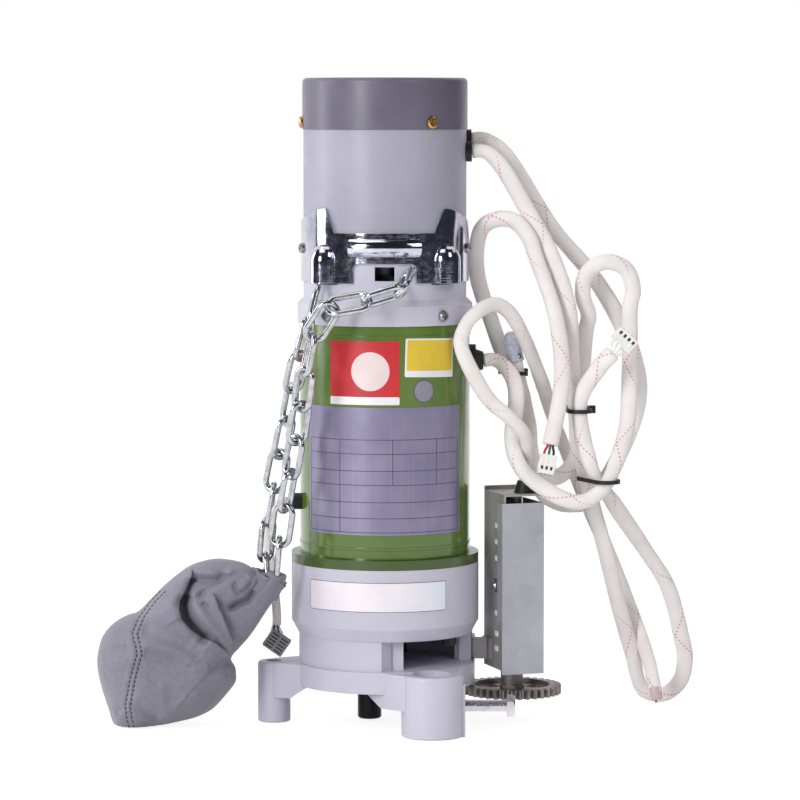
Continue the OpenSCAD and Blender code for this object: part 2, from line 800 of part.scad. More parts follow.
// Chromed guide: a half band with a notch, two ears, a pressed ridge and two chain hoods
module guide_outline() {
    r = upper_d / 2 + guide_gap + guide_t;
    ear_steps = 4;
    inner_share = 0.25;
    ear_top = [for (i = [ear_steps:-1:0]) let (t = i / ear_steps)
        [guide_ear_in + (r + cut - guide_ear_in) * (inner_share + (1 - inner_share) * t),
            guide_ear_h - (guide_ear_h - guide_side_h) * t * t]];
    notch = [for (a = [0:15:90]) [notch_half - notch_r + notch_r * sin(a),
        notch_h - notch_r + notch_r * cos(a)]];
    half = concat([[0, notch_h]], notch, [[notch_half, 0], [r + cut, 0]], ear_top,
        [[guide_ear_in, guide_mid_h], [0, guide_mid_h]]);
    polygon(half);
    mirror([1, 0]) polygon(half);
}

module hood(r, extra) {
    dome = [for (a = [0:15:90]) [r * cos(a), hood_h + r * sin(a)]];
    rotate_extrude() polygon(concat([[0, -extra], [r, -extra]], dome));
}

module at_hood(s) {
    r = upper_d / 2 + guide_gap;
    translate([s * hood_x, -sqrt(r * r - hood_x * hood_x), 0]) children();
}

module chain_guide() {
    r_in = upper_d / 2 + guide_gap;
    r_out = r_in + guide_t;
    color(chrome) translate([motor_off, 0, bell_z + guide_low]) difference() {
        union() {
            intersection() {
                sector(r_in, r_out, guide_ear_h + cut, guide_from, guide_to);
                rotate([90, 0, 0]) linear_extrude(upper_d) guide_outline();
            }
            difference() {
                union() {
                    rotate([0, 0, -90 - ridge_half_a]) rotate_extrude(angle = 2 * ridge_half_a)
                        translate([r_out - ridge_sink, ridge_z]) circle(r = ridge_r);
                    for (s = [-1, 1]) at_hood(s) hood(hood_r, 0);
                }
                lift(-cut) cylinder(r = r_in + guide_t / 2, h = guide_ear_h + 2 * cut);
            }
        }
        for (s = [-1, 1]) at_hood(s) hood(hood_r - guide_t, cut);
        for (a = guide_screw_as) rotate([0, 0, a]) lift(guide_screw_z - guide_low)
            rotate([0, 90, 0]) cylinder(d = guide_screw_d + 2 * body_gap, h = upper_d);
    }
}

// Motor inside: laminated core with its windings, rotor and shaft
core_z = stator_z + core_low;
module stator_core() {
    slots = 24;
    slot_in = rotor_d / 2 + air_gap;
    slot_rim = 1;
    slot_depth = 9;
    slot_gap = 2;
    color(steel) at_motor() lift(core_z) difference() {
        tube(stator_d - 2 * stator_wall - 2 * seat_gap, 2 * slot_in, core_h);
        for (i = [0:slots - 1]) rotate([0, 0, 360 * i / slots])
            translate([slot_in + slot_rim, -slot_gap / 2, -cut])
                cube([slot_depth, slot_gap, core_h + 2 * cut]);
    }
}

module winding_end() {
    band = (winding_out - winding_in) / 4;
    rotate_extrude() translate([(winding_in + winding_out) / 4, 0])
        polygon([for (a = [0:15:345]) [band * cos(a), winding_h / 2 * (1 + sin(a))]]);
}

module stator_windings() {
    color(copper) at_motor() {
        lift(core_z - winding_h) winding_end();
        lift(core_z + core_h) winding_end();
    }
}

module rotor_core() {
    end_ring_h = 4;
    end_ring_step = 2;
    end_ring_w = 6;
    color(steel) at_motor() lift(core_z) {
        tube(rotor_d, rotor_seat_d, core_h);
        for (z = [-end_ring_h, core_h]) lift(z)
            tube(rotor_d - 2 * end_ring_step, rotor_d - 2 * end_ring_step - 2 * end_ring_w,
                end_ring_h);
    }
}

module motor_shaft() {
    cover_in = cover_z + cover_lip;
    lower = a_gear_z - pinion_over;
    pinion_h = fast_face + 2 * pinion_over;
    neck_d = 11;
    seat_over = 1;
    color(dark_steel) at_motor() {
        lift(lower) gear(pinion_teeth, mod_fast, pinion_h, motor_pinion_phase);
        lift(lower + pinion_h) cylinder(d = neck_d, h = cover_in - lower - pinion_h);
        lift(cover_in)
            cylinder(d = cover_bearing_id - 2 * run_gap, h = cover_bearing_h + seat_over);
        lift(cover_in + cover_bearing_h + seat_over)
            cylinder(d = rotor_seat_d, h = bell_z - cover_in - cover_bearing_h - 2 * seat_over);
        lift(bell_z - seat_over)
            cylinder(d = bell_bearing_id - 2 * run_gap, h = bell_bearing_h + 2 * seat_over);
        lift(bell_z + bell_bearing_h + seat_over) cylinder(d = brake_seat_d,
            h = backplate_z + backplate_t / 2 - bell_z - bell_bearing_h - seat_over);
    }
}

// A sealed ball bearing: two races and recessed shields
module bearing(od, id, h) {
    race_share = 0.26;
    dip = 0.6;
    ring = (od - id) / 2;
    difference() {
        tube(od, id, h);
        for (z = [-cut, h - dip]) lift(z)
            tube(od - 2 * ring * race_share, id + 2 * ring * race_share, cut + dip);
    }
}

module motor_bearings() {
    color(steel) at_motor() {
        lift(cover_z + cover_lip) bearing(cover_bearing_od, cover_bearing_id, cover_bearing_h);
        lift(bell_z) bearing(bell_bearing_od, bell_bearing_id, bell_bearing_h);
    }
}

module output_bearing() {
    color(steel) at_output() lift(cup_z - boss_drop + boss_lip)
        bearing(out_bearing_od, out_bearing_id, out_bearing_h);
}

// Bronze bushes: the countershafts' four and the flanged one of the output shaft
module shaft_bushes() {
    color(bronze) {
        for (p = [a_at, b_at]) translate([p[0], p[1], cup_z + bush_floor])
            tube(counter_bush_od, counter_d + 2 * run_gap, floor_t - bush_floor);
        for (p = [a_at, b_at]) translate([p[0], p[1], cover_z - cover_key_h])
            tube(counter_bush_od, counter_d + 2 * run_gap, counter_bush_h);
        at_output() lift(skirt_z)
            tube(out_seat_d + 2 * bush_wall - 2 * seat_gap, out_seat_d + 2 * run_gap, skirt_h);
    }
}

// Countershafts, each in one piece with its wheel and pinion
module counter_shaft(at, wheel_teeth, wheel_mod, wheel_face, wheel_z, wheel_phase,
    pin_mod, pin_face, pin_z, pin_phase) {
    low = cup_z + bush_floor + seat_gap;
    high = cover_z - cover_key_h + counter_bush_h - seat_gap;
    hub_share = 1.6;
    rim_teeth = 4;
    web_dip = 1;
    color(steel) translate([at[0], at[1], 0]) {
        lift(low) cylinder(d = counter_d, h = high - low);
        lift(wheel_z) difference() {
            gear(wheel_teeth, wheel_mod, wheel_face, wheel_phase);
            lift(wheel_face - web_dip)
                tube((wheel_teeth - rim_teeth) * wheel_mod, counter_d * hub_share, web_dip + cut);
        }
        lift(pin_z) gear(pinion_teeth, pin_mod, pin_face, pin_phase);
    }
}

module counter_gear_a() {
    counter_shaft(a_at, fast_teeth, mod_fast, fast_face, a_gear_z, 180,
        mod_mid, a_gear_z - b_gear_z + pinion_over, b_gear_z - pinion_over, a_pinion_phase);
}

module counter_gear_b() {
    counter_shaft(b_at, mid_teeth, mod_mid, mid_face, b_gear_z, dir_ba,
        mod_slow, b_gear_z - out_gear_z + 2 * pinion_over, out_gear_z - pinion_over,
        b_pinion_phase);
}

module output_gear() {
    windows = 5;
    rim = 5;
    r = output_teeth * mod_slow / 2;
    hub_wall = 5;
    window_gap = 1;
    hub_r = out_gear_d / 2 + hub_wall;
    color(steel) at_output() lift(out_gear_z) difference() {
        gear(output_teeth, mod_slow, slow_face, dir_ob);
        lift(-cut) cylinder(d = out_gear_d, h = slow_face + 2 * cut);
        for (i = [0:windows - 1]) rotate([0, 0, 360 * i / windows])
            translate([(hub_r + r - rim) / 2, 0, -cut])
                cylinder(d = r - rim - hub_r - window_gap, h = slow_face + 2 * cut);
    }
}

module output_shaft() {
    bearing_low = cup_z - boss_drop + boss_lip;
    color(dark_steel) at_output() {
        lift(out_tip)
            cylinder(d1 = output_d - 2 * out_chamfer, d2 = output_d, h = out_chamfer);
        lift(out_tip + out_chamfer) cylinder(d = output_d, h = out_step_z - out_tip - out_chamfer);
        lift(out_step_z) cylinder(d = out_seat_d, h = bearing_low - out_step_z);
        lift(bearing_low) cylinder(d = out_bearing_id - 2 * run_gap,
            h = out_gear_z - bearing_low);
        lift(out_gear_z) cylinder(d = out_gear_d, h = slow_face + out_chamfer);
    }
}

// Roller-chain sprocket: roller seats cut from a disc, and a hub below
module output_sprocket() {
    pr = drive_pitch / 2 / sin(180 / sprocket_teeth);
    tip_share = 0.38;
    tip = pr + sprocket_roller_d * tip_share;
    flank_share = 1.43;
    flank = sprocket_roller_d / 2 * flank_share;
    color(dark_steel) at_output() difference() {
        union() {
            lift(sprocket_z) linear_extrude(sprocket_t) difference() {
                circle(r = tip);
                for (i = [0:sprocket_teeth - 1]) rotate(360 * i / sprocket_teeth) {
                    translate([pr, 0]) circle(d = sprocket_roller_d);
                    polygon([[pr, -sprocket_roller_d / 2], [tip + cut, -flank],
                        [tip + cut, flank], [pr, sprocket_roller_d / 2]]);
                }
            }
            lift(sprocket_z - sprocket_hub_low)
                cylinder(d = sprocket_hub_d, h = sprocket_hub_low + cut);
        }
        lift(sprocket_z - sprocket_hub_low - cut)
            cylinder(d = out_seat_d, h = sprocket_t + sprocket_hub_low + 2 * cut);
    }
}

// Hand chain wheel: a deep groove with a pocket for every second link
module hand_chain_wheel() {
    r = chain_wheel_d / 2;
    pockets = 7;
    room = 1;
    groove = link_wire + room;
    groove_depth = 10;
    pocket_w = link_gap + 2 * link_wire + room;
    color(steel) at_motor() lift(wheel_z) difference() {
        cylinder(r = r, h = wheel_t);
        lift(-cut) cylinder(d = wheel_boss_d + 2 * run_gap, h = wheel_t + 2 * cut);
        lift(wheel_t / 2 - groove / 2) tube(2 * (r + cut), 2 * (r - groove_depth), groove);
        for (i = [0:pockets - 1]) rotate([0, 0, 360 * i / pockets])
            translate([r - groove, -link_inner / 2, wheel_t / 2 - pocket_w / 2])
                cube([groove + cut, link_inner, pocket_w]);
    }
}

// Brake: coil pot on the end bell's ledge, sliding armature, friction disc, back plate
coil_base_z = brake_z;
coil_top_z = coil_base_z + coil_h;
armature_z = coil_top_z + armature_gap;
lining_gap = 0.1;
disc_z = armature_z + armature_t + lining_gap;
backplate_z = disc_z + brake_disc_t + lining_gap;
spring_as = [30, 150, 270];
spring_d = 6;
spring_depth = 12;

module brake_coil() {
    flange = upper_d - 2 * brake_wall - 2 * body_gap;
    color(dark_steel) at_motor() lift(coil_base_z) difference() {
        union() {
            cylinder(d = flange, h = coil_flange_t);
            cylinder(d = coil_d, h = coil_h);
        }
        lift(-cut) cylinder(d = brake_bore_d, h = coil_h + 2 * cut);
        lift(coil_h - coil_slot_h) tube(coil_slot_out, coil_slot_in, coil_slot_h + cut);
        for (a = spring_as) rotate([0, 0, a]) translate([spring_r, 0, coil_h - spring_depth])
            cylinder(d = spring_d + 2 * body_gap, h = spring_depth + cut);
        for (a = stud_as) rotate([0, 0, a]) translate([stud_r, 0, -cut])
            cylinder(d = stud_d, h = coil_h);
    }
    color(copper) at_motor() lift(coil_top_z - coil_slot_h + seat_gap)
        tube(coil_slot_out - 2 * seat_gap, coil_slot_in + 2 * seat_gap, coil_slot_h - coil_dip);
}

stud_as = [90, 210, 330];

module brake_backplate() {
    d = 2 * stud_r + 2 * stud_d;
    color(steel) at_motor() {
        lift(backplate_z) tube(d, brake_bore_d, backplate_t);
        for (a = stud_as) rotate([0, 0, a]) translate([stud_r, 0, coil_base_z + coil_flange_t])
            cylinder(d = stud_sleeve_d, h = backplate_z - coil_base_z - coil_flange_t);
        for (a = stud_as) rotate([0, 0, a]) translate([stud_r, 0, coil_base_z])
            cylinder(d = stud_d - 2 * seat_gap, h = coil_flange_t);
        for (a = stud_as) rotate([0, 0, a]) translate([stud_r, 0, backplate_z + backplate_t])
            cylinder(d = stud_nut_d, h = stud_nut_h, $fn = 6);
    }
}

module brake_armature() {
    color(steel) at_motor() lift(armature_z) difference() {
        tube(armature_d, armature_bore_d, armature_t);
        for (a = stud_as) rotate([0, 0, a]) translate([stud_r, 0, -cut])
            cylinder(d = stud_notch_d, h = armature_t + 2 * cut);
    }
}

module brake_disc() {
    color(dark_steel) at_motor() lift(disc_z) tube(brake_disc_d, brake_seat_d, brake_disc_t);
}

// Three springs behind the armature, each turned with round waves
module brake_springs() {
    waves = 6;
    wave_share = 0.8;
    bore_d = 3;
    h = spring_depth + armature_gap;
    wire = h / waves;
    color(steel) at_motor() for (a = spring_as) rotate([0, 0, a])
        translate([spring_r, 0, coil_top_z - spring_depth]) difference() {
            rotate_extrude() polygon(concat([[0, 0]], [for (i = [0:waves - 1]) for (q = [0:3])
                [spring_d / 2 - wire / 2 * abs(cos(90 + 45 * q)) * wave_share, wire * (i + q / 4)]],
                [[0, h]]));
            lift(-cut) cylinder(d = bore_d, h = h + 2 * cut);
        }
}

// Rubber grommets of the leads: two on the stator tube, for the stator's and the sensor's lead,
// and one on top of the limit unit
grommet_l = 9;
grommet_drop = 26;
sensor_l = 7;
sensor_y = -8;
sensor_rise = 34;
stator_exit = [motor_off + stator_d / 2 + grommet_l, 0, bell_z - grommet_drop];
sensor_exit = [motor_off - stator_d / 2 - sensor_l, sensor_y, stator_z + sensor_rise];
sensor_hole_d = 7;
module lead_grommets() {
    r = stator_d / 2;
    collar_d = 22;
    nose_d = 12;
    rim = 2;
    cone_d = 17.6;
    rise = 1;
    color(rubber) {
        translate([motor_off + r, stator_exit[1], stator_exit[2]]) rotate([0, 90, 0]) {
            lift(-stator_wall / 2) cylinder(d = grommet_hole_d - 2 * seat_gap, h = stator_wall + rise);
            lift(rise) cylinder(d1 = cone_d, d2 = nose_d, h = stator_exit[0] - motor_off - r - rise);
        }
        intersection() {
            translate([motor_off + r / 2, stator_exit[1], stator_exit[2]])
                rotate([0, 90, 0]) cylinder(d = collar_d, h = r);
            at_motor() lift(stator_exit[2] - collar_d)
                tube(2 * (r + 2 * rim), 2 * r + body_gap, 2 * collar_d);
        }
    }
    color(rubber) difference() {
        translate([sensor_exit[0], sensor_exit[1], sensor_exit[2]]) rotate([0, 90, 0])
            cylinder(d = sensor_hole_d + 2 * rim, h = r / 2);
        at_motor() lift(sensor_exit[2] - collar_d)
            cylinder(d = 2 * r + body_gap, h = 2 * collar_d);
    }
    color(rubber) translate([limit_exit[0], limit_exit[1], 0]) {
        lift(frame_top) cylinder(d1 = limit_foot_d, d2 = limit_nose_d, h = limit_grommet_h);
        lift(frame_top - frame_t) cylinder(d = limit_lead_d - 2 * seat_gap, h = frame_t);
    }
}

module cable_outlets() {
    color(rubber) difference() {
        union() for (i = [0, 1]) intersection() {
            outlet_axis(i) cylinder(d = outlet_d, h = upper_d);
            translate([0, -upper_d, outlet_zs[1] - outlet_d])
                cube([outlet_x, 2 * upper_d, 3 * outlet_d]);
        }
        at_motor() lift(outlet_zs[1] - 2 * outlet_d)
            cylinder(d = upper_d + body_gap, h = 5 * outlet_d);
    }
}

// Limit unit, drawn about its own spindle
limit_reach = 26.7;
limit_at = [pad_x + limit_reach, 0];
box_front = 24;
frame_z = 37;
frame_top = frame_z + frame_h;
cover_low = 35;
cover_top = 150;
cover_t = 1.2;
back_tab = 2.5;
gear_z = 19;
gear_hub_d = 15;
gear_hub_h = 10;
left = -box_w / 2;
right = box_w / 2;
front = -box_front;
back = box_d - box_front;
top_journal_d = 8;
nut_gap = 3;
mid_z = 93.5;
nut_zs = [mid_z - nut_gap / 2 - nut_h, mid_z + nut_gap / 2];
post_zs = [60, 127];
post_d = 4;
peg_zs = [[51, 61, 75], [112, 123, 134]];
peg_v = -9;
peg_l = 6;
peg_h = 4;
switch_gap = 0.6;
switch_h = 10.2;
switch_l = 18;
switch_t = 6.4;
carrier_t = 2.6;
lever_t = 0.4;
lever_l = 16;
lever_w = 4;
lever_drop = 2;
lever_foot = lever_drop - lever_t - seat_gap;

module at_limit() {
    translate([limit_at[0], limit_at[1], 0]) rotate([0, 0, box_yaw]) children();
}

module slab(from, to) { translate(from) cube(to - from); }

module limit_frame() {
    color(upper_grey) at_limit() difference() {
        union() {
            slab([left, front + frame_t, frame_z], [left + frame_t, back, frame_top]);
            slab([left, back - frame_t, frame_z], [right - frame_t, back, frame_top + back_tab]);
            for (z = [frame_z, frame_top - frame_t])
                slab([left, front + frame_t, z], [right - frame_t, back, z + frame_t]);
            for (z = post_zs) translate([0, back - frame_t / 2, z]) rotate([90, 0, 0])
                cylinder(d = post_d, h = post_len);
        }
        lift(frame_top - frame_t - cut)
            cylinder(d = top_journal_d + 2 * bush_wall, h = 2 * cut + frame_t);
        lift(frame_z - cut) cylinder(d = spindle_d + 2 * bush_wall, h = 2 * cut + frame_t);
        for (g = peg_zs) for (z = g)
            slab([left - cut, peg_v - peg_l / 2, z - peg_h / 2],
                [left + frame_t + cut, peg_v + peg_l / 2, z + peg_h / 2]);
        translate([left + sill_u, front + sill_v, frame_z - cut])
            cylinder(d = sill_screw_d, h = frame_t + 2 * cut);
        translate([left - cut, peg_v, mid_z]) rotate([0, 90, 0])
            cylinder(d = frame_screw_d, h = frame_t + 2 * cut);
        for (v = vent_vs) slab([left + vent_u, v, frame_top - frame_t - cut],
            [left + vent_u + vent_l, v + frame_t, frame_top + cut]);
        rotate([0, 0, -box_yaw]) translate([limit_exit[0] - limit_at[0],
            limit_exit[1] - limit_at[1], frame_top - frame_t - cut])
            cylinder(d = limit_lead_d, h = frame_t + 2 * cut);
    }
}

post_len = 9;
frame_screw_d = 4;
sill_u = 5;
sill_v = 6;
sill_screw_d = 3;
vent_vs = [-18, -4];
vent_u = 3;
vent_l = 4;

// Bright cover: front and right wall, a flange on the left and a bent tab on top
module limit_cover() {
    flange_v = 10;
    flange_z = 70;
    edge = left - cover_t - body_gap;
    color([0.68, 0.68, 0.7]) at_limit() {
        slab([edge, front, cover_low], [right, front + cover_t, cover_top]);
        slab([right - cover_t, front, cover_low], [right, back - frame_t, cover_top]);
        slab([edge, front, flange_z], [left - body_gap, front + flange_v, cover_top]);
    }
}

bracket_t = 2;
bracket_low = 42;
bracket_high = 56.5;
bracket_run = 10;

module limit_bracket() {
    color(upper_grey) difference() {
        union() {
            slab([pad_x, pad_from, bracket_low], [pad_x + bracket_t, pad_to, bracket_high]);
            slab([pad_x, pad_from - bracket_t, bracket_low],
                [pad_x + bracket_run, pad_from, bracket_high]);
            at_limit() slab([left - bracket_t, front + box_front + bracket_t / 2, bracket_low],
                [left, back - bracket_t, bracket_high]);
        }
        for (y = bracket_ys) translate([pad_x - cut, y, bracket_screw_z])
            rotate([0, 90, 0]) cylinder(d = bracket_screw_d + body_gap, h = bracket_t + 2 * cut);
    }
}

module limit_bushes() {
    rise = 2;
    color(bronze) at_limit() {
        lift(frame_top - frame_t - rise)
            tube(top_journal_d + 2 * bush_wall - 2 * seat_gap, top_journal_d + 2 * run_gap,
                frame_t + rise);
        lift(frame_z - frame_t / 2)
            tube(spindle_d + 2 * bush_wall - 2 * seat_gap, spindle_d + 2 * run_gap,
                frame_t + 2 * rise);
    }
}

module limit_spindle() {
    rise = 3;
    toe = 0.5;
    shoulder = frame_top - frame_t - rise;
    color(steel) at_limit() {
        lift(gear_z - toe) cylinder(d = spindle_d, h = shoulder - gear_z + toe);
        lift(shoulder) cylinder(d = top_journal_d, h = frame_top - shoulder);
    }
}

module limit_gear() {
    r = limit_teeth * limit_mod / 2;
    spokes = 6;
    rim = 6;
    hub_wall = 3;
    hub_step = 0.8;
    hub_r = gear_hub_d / 2 + hub_wall;
    window_r = r - rim - hub_step;
    spoke_w = 5;
    spoke_turn = 10;
    web_t = limit_face / 2;
    color([0.45, 0.43, 0.41]) at_limit() lift(gear_z) difference() {
        union() {
            gear(limit_teeth, limit_mod, limit_face, 0);
            cylinder(d = gear_hub_d, h = limit_face + gear_hub_h);
        }
        lift(-cut) cylinder(d = spindle_d, h = limit_face + gear_hub_h + 2 * cut);
        lift(web_t) tube(2 * (r - rim), gear_hub_d + 2 * hub_step, limit_face);
        for (i = [0:spokes - 1]) rotate([0, 0, 360 * i / spokes + spoke_turn]) lift(-cut) difference() {
            half_a = 180 / spokes;
            sector(hub_r, window_r, limit_face, -half_a, half_a);
            for (s = [-1, 1]) rotate([0, 0, s * half_a]) translate([0, -spoke_w / 2, -cut])
                cube([r, spoke_w, limit_face + 2 * cut]);
        }
    }
}

// Nylon nuts with a notched rim
module nut(z) {
    notches = 12;
    notch_depth = 2.5;
    notch_w = 3;
    color(nylon) at_limit() lift(z) difference() {
        cylinder(d = nut_d, h = nut_h);
        lift(-cut) cylinder(d = spindle_d + 2 * run_gap, h = nut_h + 2 * cut);
        for (i = [0:notches - 1]) rotate([0, 0, 90 + 360 * i / notches])
            translate([nut_d / 2 - notch_depth, -notch_w / 2, -cut])
                cube([notch_depth + cut, notch_w, nut_h + 2 * cut]);
    }
}

module lower_nut() { nut(nut_zs[0]); }
module upper_nut() { nut(nut_zs[1]); }

// Sprung plate whose edge keeps both nuts from turning
plate_t = 1.5;
plate_in = 9.2;
plate_w = 3;
plate_tab = 5;
module guide_plate() {
    color(steel) at_limit() difference() {
        union() {
            slab([-plate_t / 2, plate_in, post_zs[0] - plate_tab],
                [plate_t / 2, plate_in + plate_w, post_zs[1] + plate_tab]);
            for (z = post_zs) slab([-plate_tab, plate_in + plate_w - plate_t, z - plate_tab],
                [plate_tab, plate_in + plate_w, z + plate_tab]);
        }
        for (z = post_zs) translate([0, back, z]) rotate([90, 0, 0])
            cylinder(d = post_d + 2 * run_gap, h = box_d);
    }
}

module guide_springs() {
    spring_out = 7;
    spring_in = 5;
    color(steel) at_limit() for (z = post_zs) translate([0, plate_in + plate_w, z])
        rotate([-90, 0, 0]) lift(body_gap / 3)
            tube(spring_out, spring_in,
                back - frame_t - plate_in - plate_w - 2 * body_gap / 3);
}

// Nylon carriers whose pegs show in the slots of the frame, and the switches on them
module switch_carriers() {
    color(nylon) at_limit() for (g = peg_zs) {
        slab([left + frame_t + seat_gap, peg_v - peg_l, g[0] - peg_l],
            [left + frame_t + carrier_t, peg_v + peg_l / 2, g[2] + peg_l]);
        for (z = g) slab([left - cover_t / 2, peg_v - peg_l / 2 + body_gap, z - peg_h / 2 + body_gap],
            [left + frame_t + cut, peg_v + peg_l / 2 - body_gap, z + peg_h / 2 - body_gap]);
    }
}

lever_zs = [nut_zs[0] - nut_travel - switch_gap, nut_zs[1] + nut_h + nut_travel + switch_gap];
switch_v = -22.4;
switch_u = left + frame_t + carrier_t + seat_gap;
module limit_switches() {
    body_zs = [lever_zs[0] - lever_drop - switch_h, lever_zs[1] + lever_drop];
    blade_vs = [2, 8, 14];
    blade_l = 4;
    blade_w = 2;
    blade_t = 0.8;
    blade_u = switch_u + (switch_t - blade_t) / 2;
    color(rubber) at_limit() for (z = body_zs)
        slab([switch_u, switch_v, z], [switch_u + switch_t, switch_v + switch_l, z + switch_h]);
    color(chrome) at_limit() for (v = blade_vs) {
        slab([blade_u, switch_v + v, body_zs[0] - blade_l],
            [blade_u + blade_t, switch_v + v + blade_w, body_zs[0]]);
        slab([blade_u, switch_v + v, body_zs[1] + switch_h],
            [blade_u + blade_t, switch_v + v + blade_w, body_zs[1] + switch_h + blade_l]);
    }
}

// A sprung lever with its hinge barrel at the switch's front edge
module switch_lever(side) {
    z = side > 0 ? lever_zs[1] : lever_zs[0];
    mid_u = switch_u + switch_t / 2;
    color(chrome) at_limit() {
        slab([mid_u - lever_w / 2, switch_v, min(z, z + side * lever_t)],
            [mid_u + lever_w / 2, switch_v + lever_l, max(z, z + side * lever_t)]);
        slab([mid_u - lever_w / 2, switch_v, min(z, z + side * lever_foot)],
            [mid_u + lever_w / 2, switch_v + lever_t, max(z, z + side * lever_foot)]);
        translate([mid_u - lever_w / 2, switch_v + lever_t, z + side * lever_foot])
            rotate([0, 90, 0]) cylinder(d = lever_t * 2, h = lever_w);
    }
}

module upper_switch_lever() { switch_lever(1); }
module lower_switch_lever() { switch_lever(-1); }

module limit_screws() {
    washer = 9;
    washer_t = 0.8;
    head_d = 6.8;
    head_h = 2.4;
    sill_head_d = 6.6;
    color(chrome) at_limit() translate([left, peg_v, mid_z]) rotate([0, -90, 0]) {
        translate([-washer / 2, -washer / 2, 0]) cube([washer, washer, washer_t]);
        lift(washer_t) pan_screw(head_d, head_h, frame_screw_d - body_gap, washer_t + frame_t);
    }
    color(dark_steel) at_limit() translate([left + sill_u, front + sill_v, frame_z])
        rotate([180, 0, 0])
            pan_screw(sill_head_d, sill_screw_d, sill_screw_d - 2 * seat_gap, frame_t);
}

limit_foot_d = 15.2;
limit_nose_d = 10.4;
limit_grommet_h = 8;
limit_exit_off = [8.3, -9];
limit_exit = [limit_at[0] + limit_exit_off[0], limit_exit_off[1], frame_top + limit_grommet_h];

// A point of a path at distance s along it
function path_at(p, s, i = 0) =
    i >= len(p) - 2 ? p[i] + (p[i + 1] - p[i]) * s / norm(p[i + 1] - p[i])
    : s <= norm(p[i + 1] - p[i]) ? p[i] + (p[i + 1] - p[i]) * s / norm(p[i + 1] - p[i])
    : path_at(p, s - norm(p[i + 1] - p[i]), i + 1);

// Length of a path, summed over its segments
function path_len(p, i = 0) = i >= len(p) - 1 ? 0 : norm(p[i + 1] - p[i]) + path_len(p, i + 1);

// Children turned so that +Z runs along d, with no twist about it
module along(d) {
    u = d / norm(d);
    c = atan2(u[1], u[0]);
    rotate([0, 0, c]) rotate([0, acos(u[2]), 0]) rotate([0, 0, -c]) children();
}

// One welded link about its centre, with its length along Z
module chain_link() {
    r = (link_gap + link_wire) / 2;
    straight = link_inner - link_gap;
    for (s = [-1, 1]) translate([s * r, 0, -straight / 2]) cylinder(d = link_wire, h = straight);
    for (s = [0, 1]) mirror([0, 0, s]) lift(straight / 2) rotate([90, 0, 0])
        rotate_extrude(angle = 180) translate([r, 0]) circle(d = link_wire);
}

// Strands of the hand chain, down to the bag: the left one from its hood, the right one from the
// guide's front
chain_play = 0.5;
chain_roll = 35;
guide_r = upper_d / 2 + guide_gap;
hood_at = [motor_off, -sqrt(guide_r * guide_r - hood_x * hood_x), bell_z + guide_low];
front_at = [motor_off, -guide_r, bell_z + guide_low];
strand_left_run = [[-44.7, -8.33, -4.5], [-50, -20.33, -25], [-56, -20.33, -48],
    [-61, -13.33, -70], [-66, -5.33, -98], [-72, 0.67, -126], [-77, 3.67, -154],
    [-80, 3.67, -186]];
strand_right_run = [[15, -3, 6.5], [11.5, -23.2, -3], [-12, -24.2, -10], [-35, -22.2, -14],
    [-47, -17.2, -33], [-51, -16.2, -52], [-54, -13.2, -76], [-58, -7.2, -102], [-63, -1.2, -130],
    [-68, 2.8, -158], [-72, 5.8, -188], [-73, 6.8, -193]];

module strand(path) {
    pitch = link_inner - chain_play;
    count = floor(path_len(path) / pitch);
    for (i = [0:count - 1]) {
        p = path_at(path, i * pitch);
        q = path_at(path, (i + 1) * pitch);
        translate((p + q) / 2) along(q - p) rotate([0, 0, chain_roll + 90 * i]) chain_link();
    }
}

module hand_chain() {
    color(chrome) {
        strand([for (p = strand_left_run) hood_at + p]);
        strand([for (p = strand_right_run) front_at + p]);
    }
}

// Cloth bag that holds the rest of the chain, with its neck round the strands
bag_l = 100;
bag_ball_shares = [[[-1.5, -0.2, 0.37], 0.38], [[-1.19, -0.26, 0.78], 0.3],
    [[-1.23, -0.22, 0.28], 0.25], [[-0.75, -0.42, 0.92], 0.12]];
module chain_bag() {
    color(bag_grey) intersection() {
        hull() for (b = bag_ball_shares) translate(bag_l * b[0]) sphere(r = bag_l * b[1], $fn = 24);
        translate([-3 * bag_l, -bag_l, 0]) cube([3 * bag_l, 2 * bag_l, 2 * bag_l]);
    }
}

// Routes of the leads, chosen by hand
motor_route = [[62, 12, 392], [71, 12, 392], [83, 13, 383], [95, 14, 366], [118, 17, 331],
    [145, 23, 299], [166, 28, 263], [177, 28, 224], [167, 26, 186], [146, 25, 150], [132, 25, 144],
    [118, 23, 147], [108, 19, 157], [98, 18, 182], [92, 20, 223], [78, 18, 263], [66, 8, 301],
    [67, 3, 328], [76, -2, 338], [90, -7, 338], [100, -10, 327], [105, -10, 313], [118, -13, 274],
    [122, -21, 233], [114, -31, 190]];
brake_route = [[62, -4, 384], [71, -4, 384], [82, -5, 374], [98, -5, 347], [114, -5, 318],
    [127, -4, 279], [130, -1, 237], [133, 3, 195], [142, 7, 154], [153, 16, 115], [163, 28, 76],
    [174, 41, 38], [177, 45, 24], [183, 50, 12], [197, 56, 9], [208, 59, 18], [211, 58, 32],
    [209, 55, 46], [198, 42, 85], [179, 23, 116], [159, 0, 146], [142, -12, 174], [134, -15, 215],
    [146, -15, 239], [156, -15, 250]];
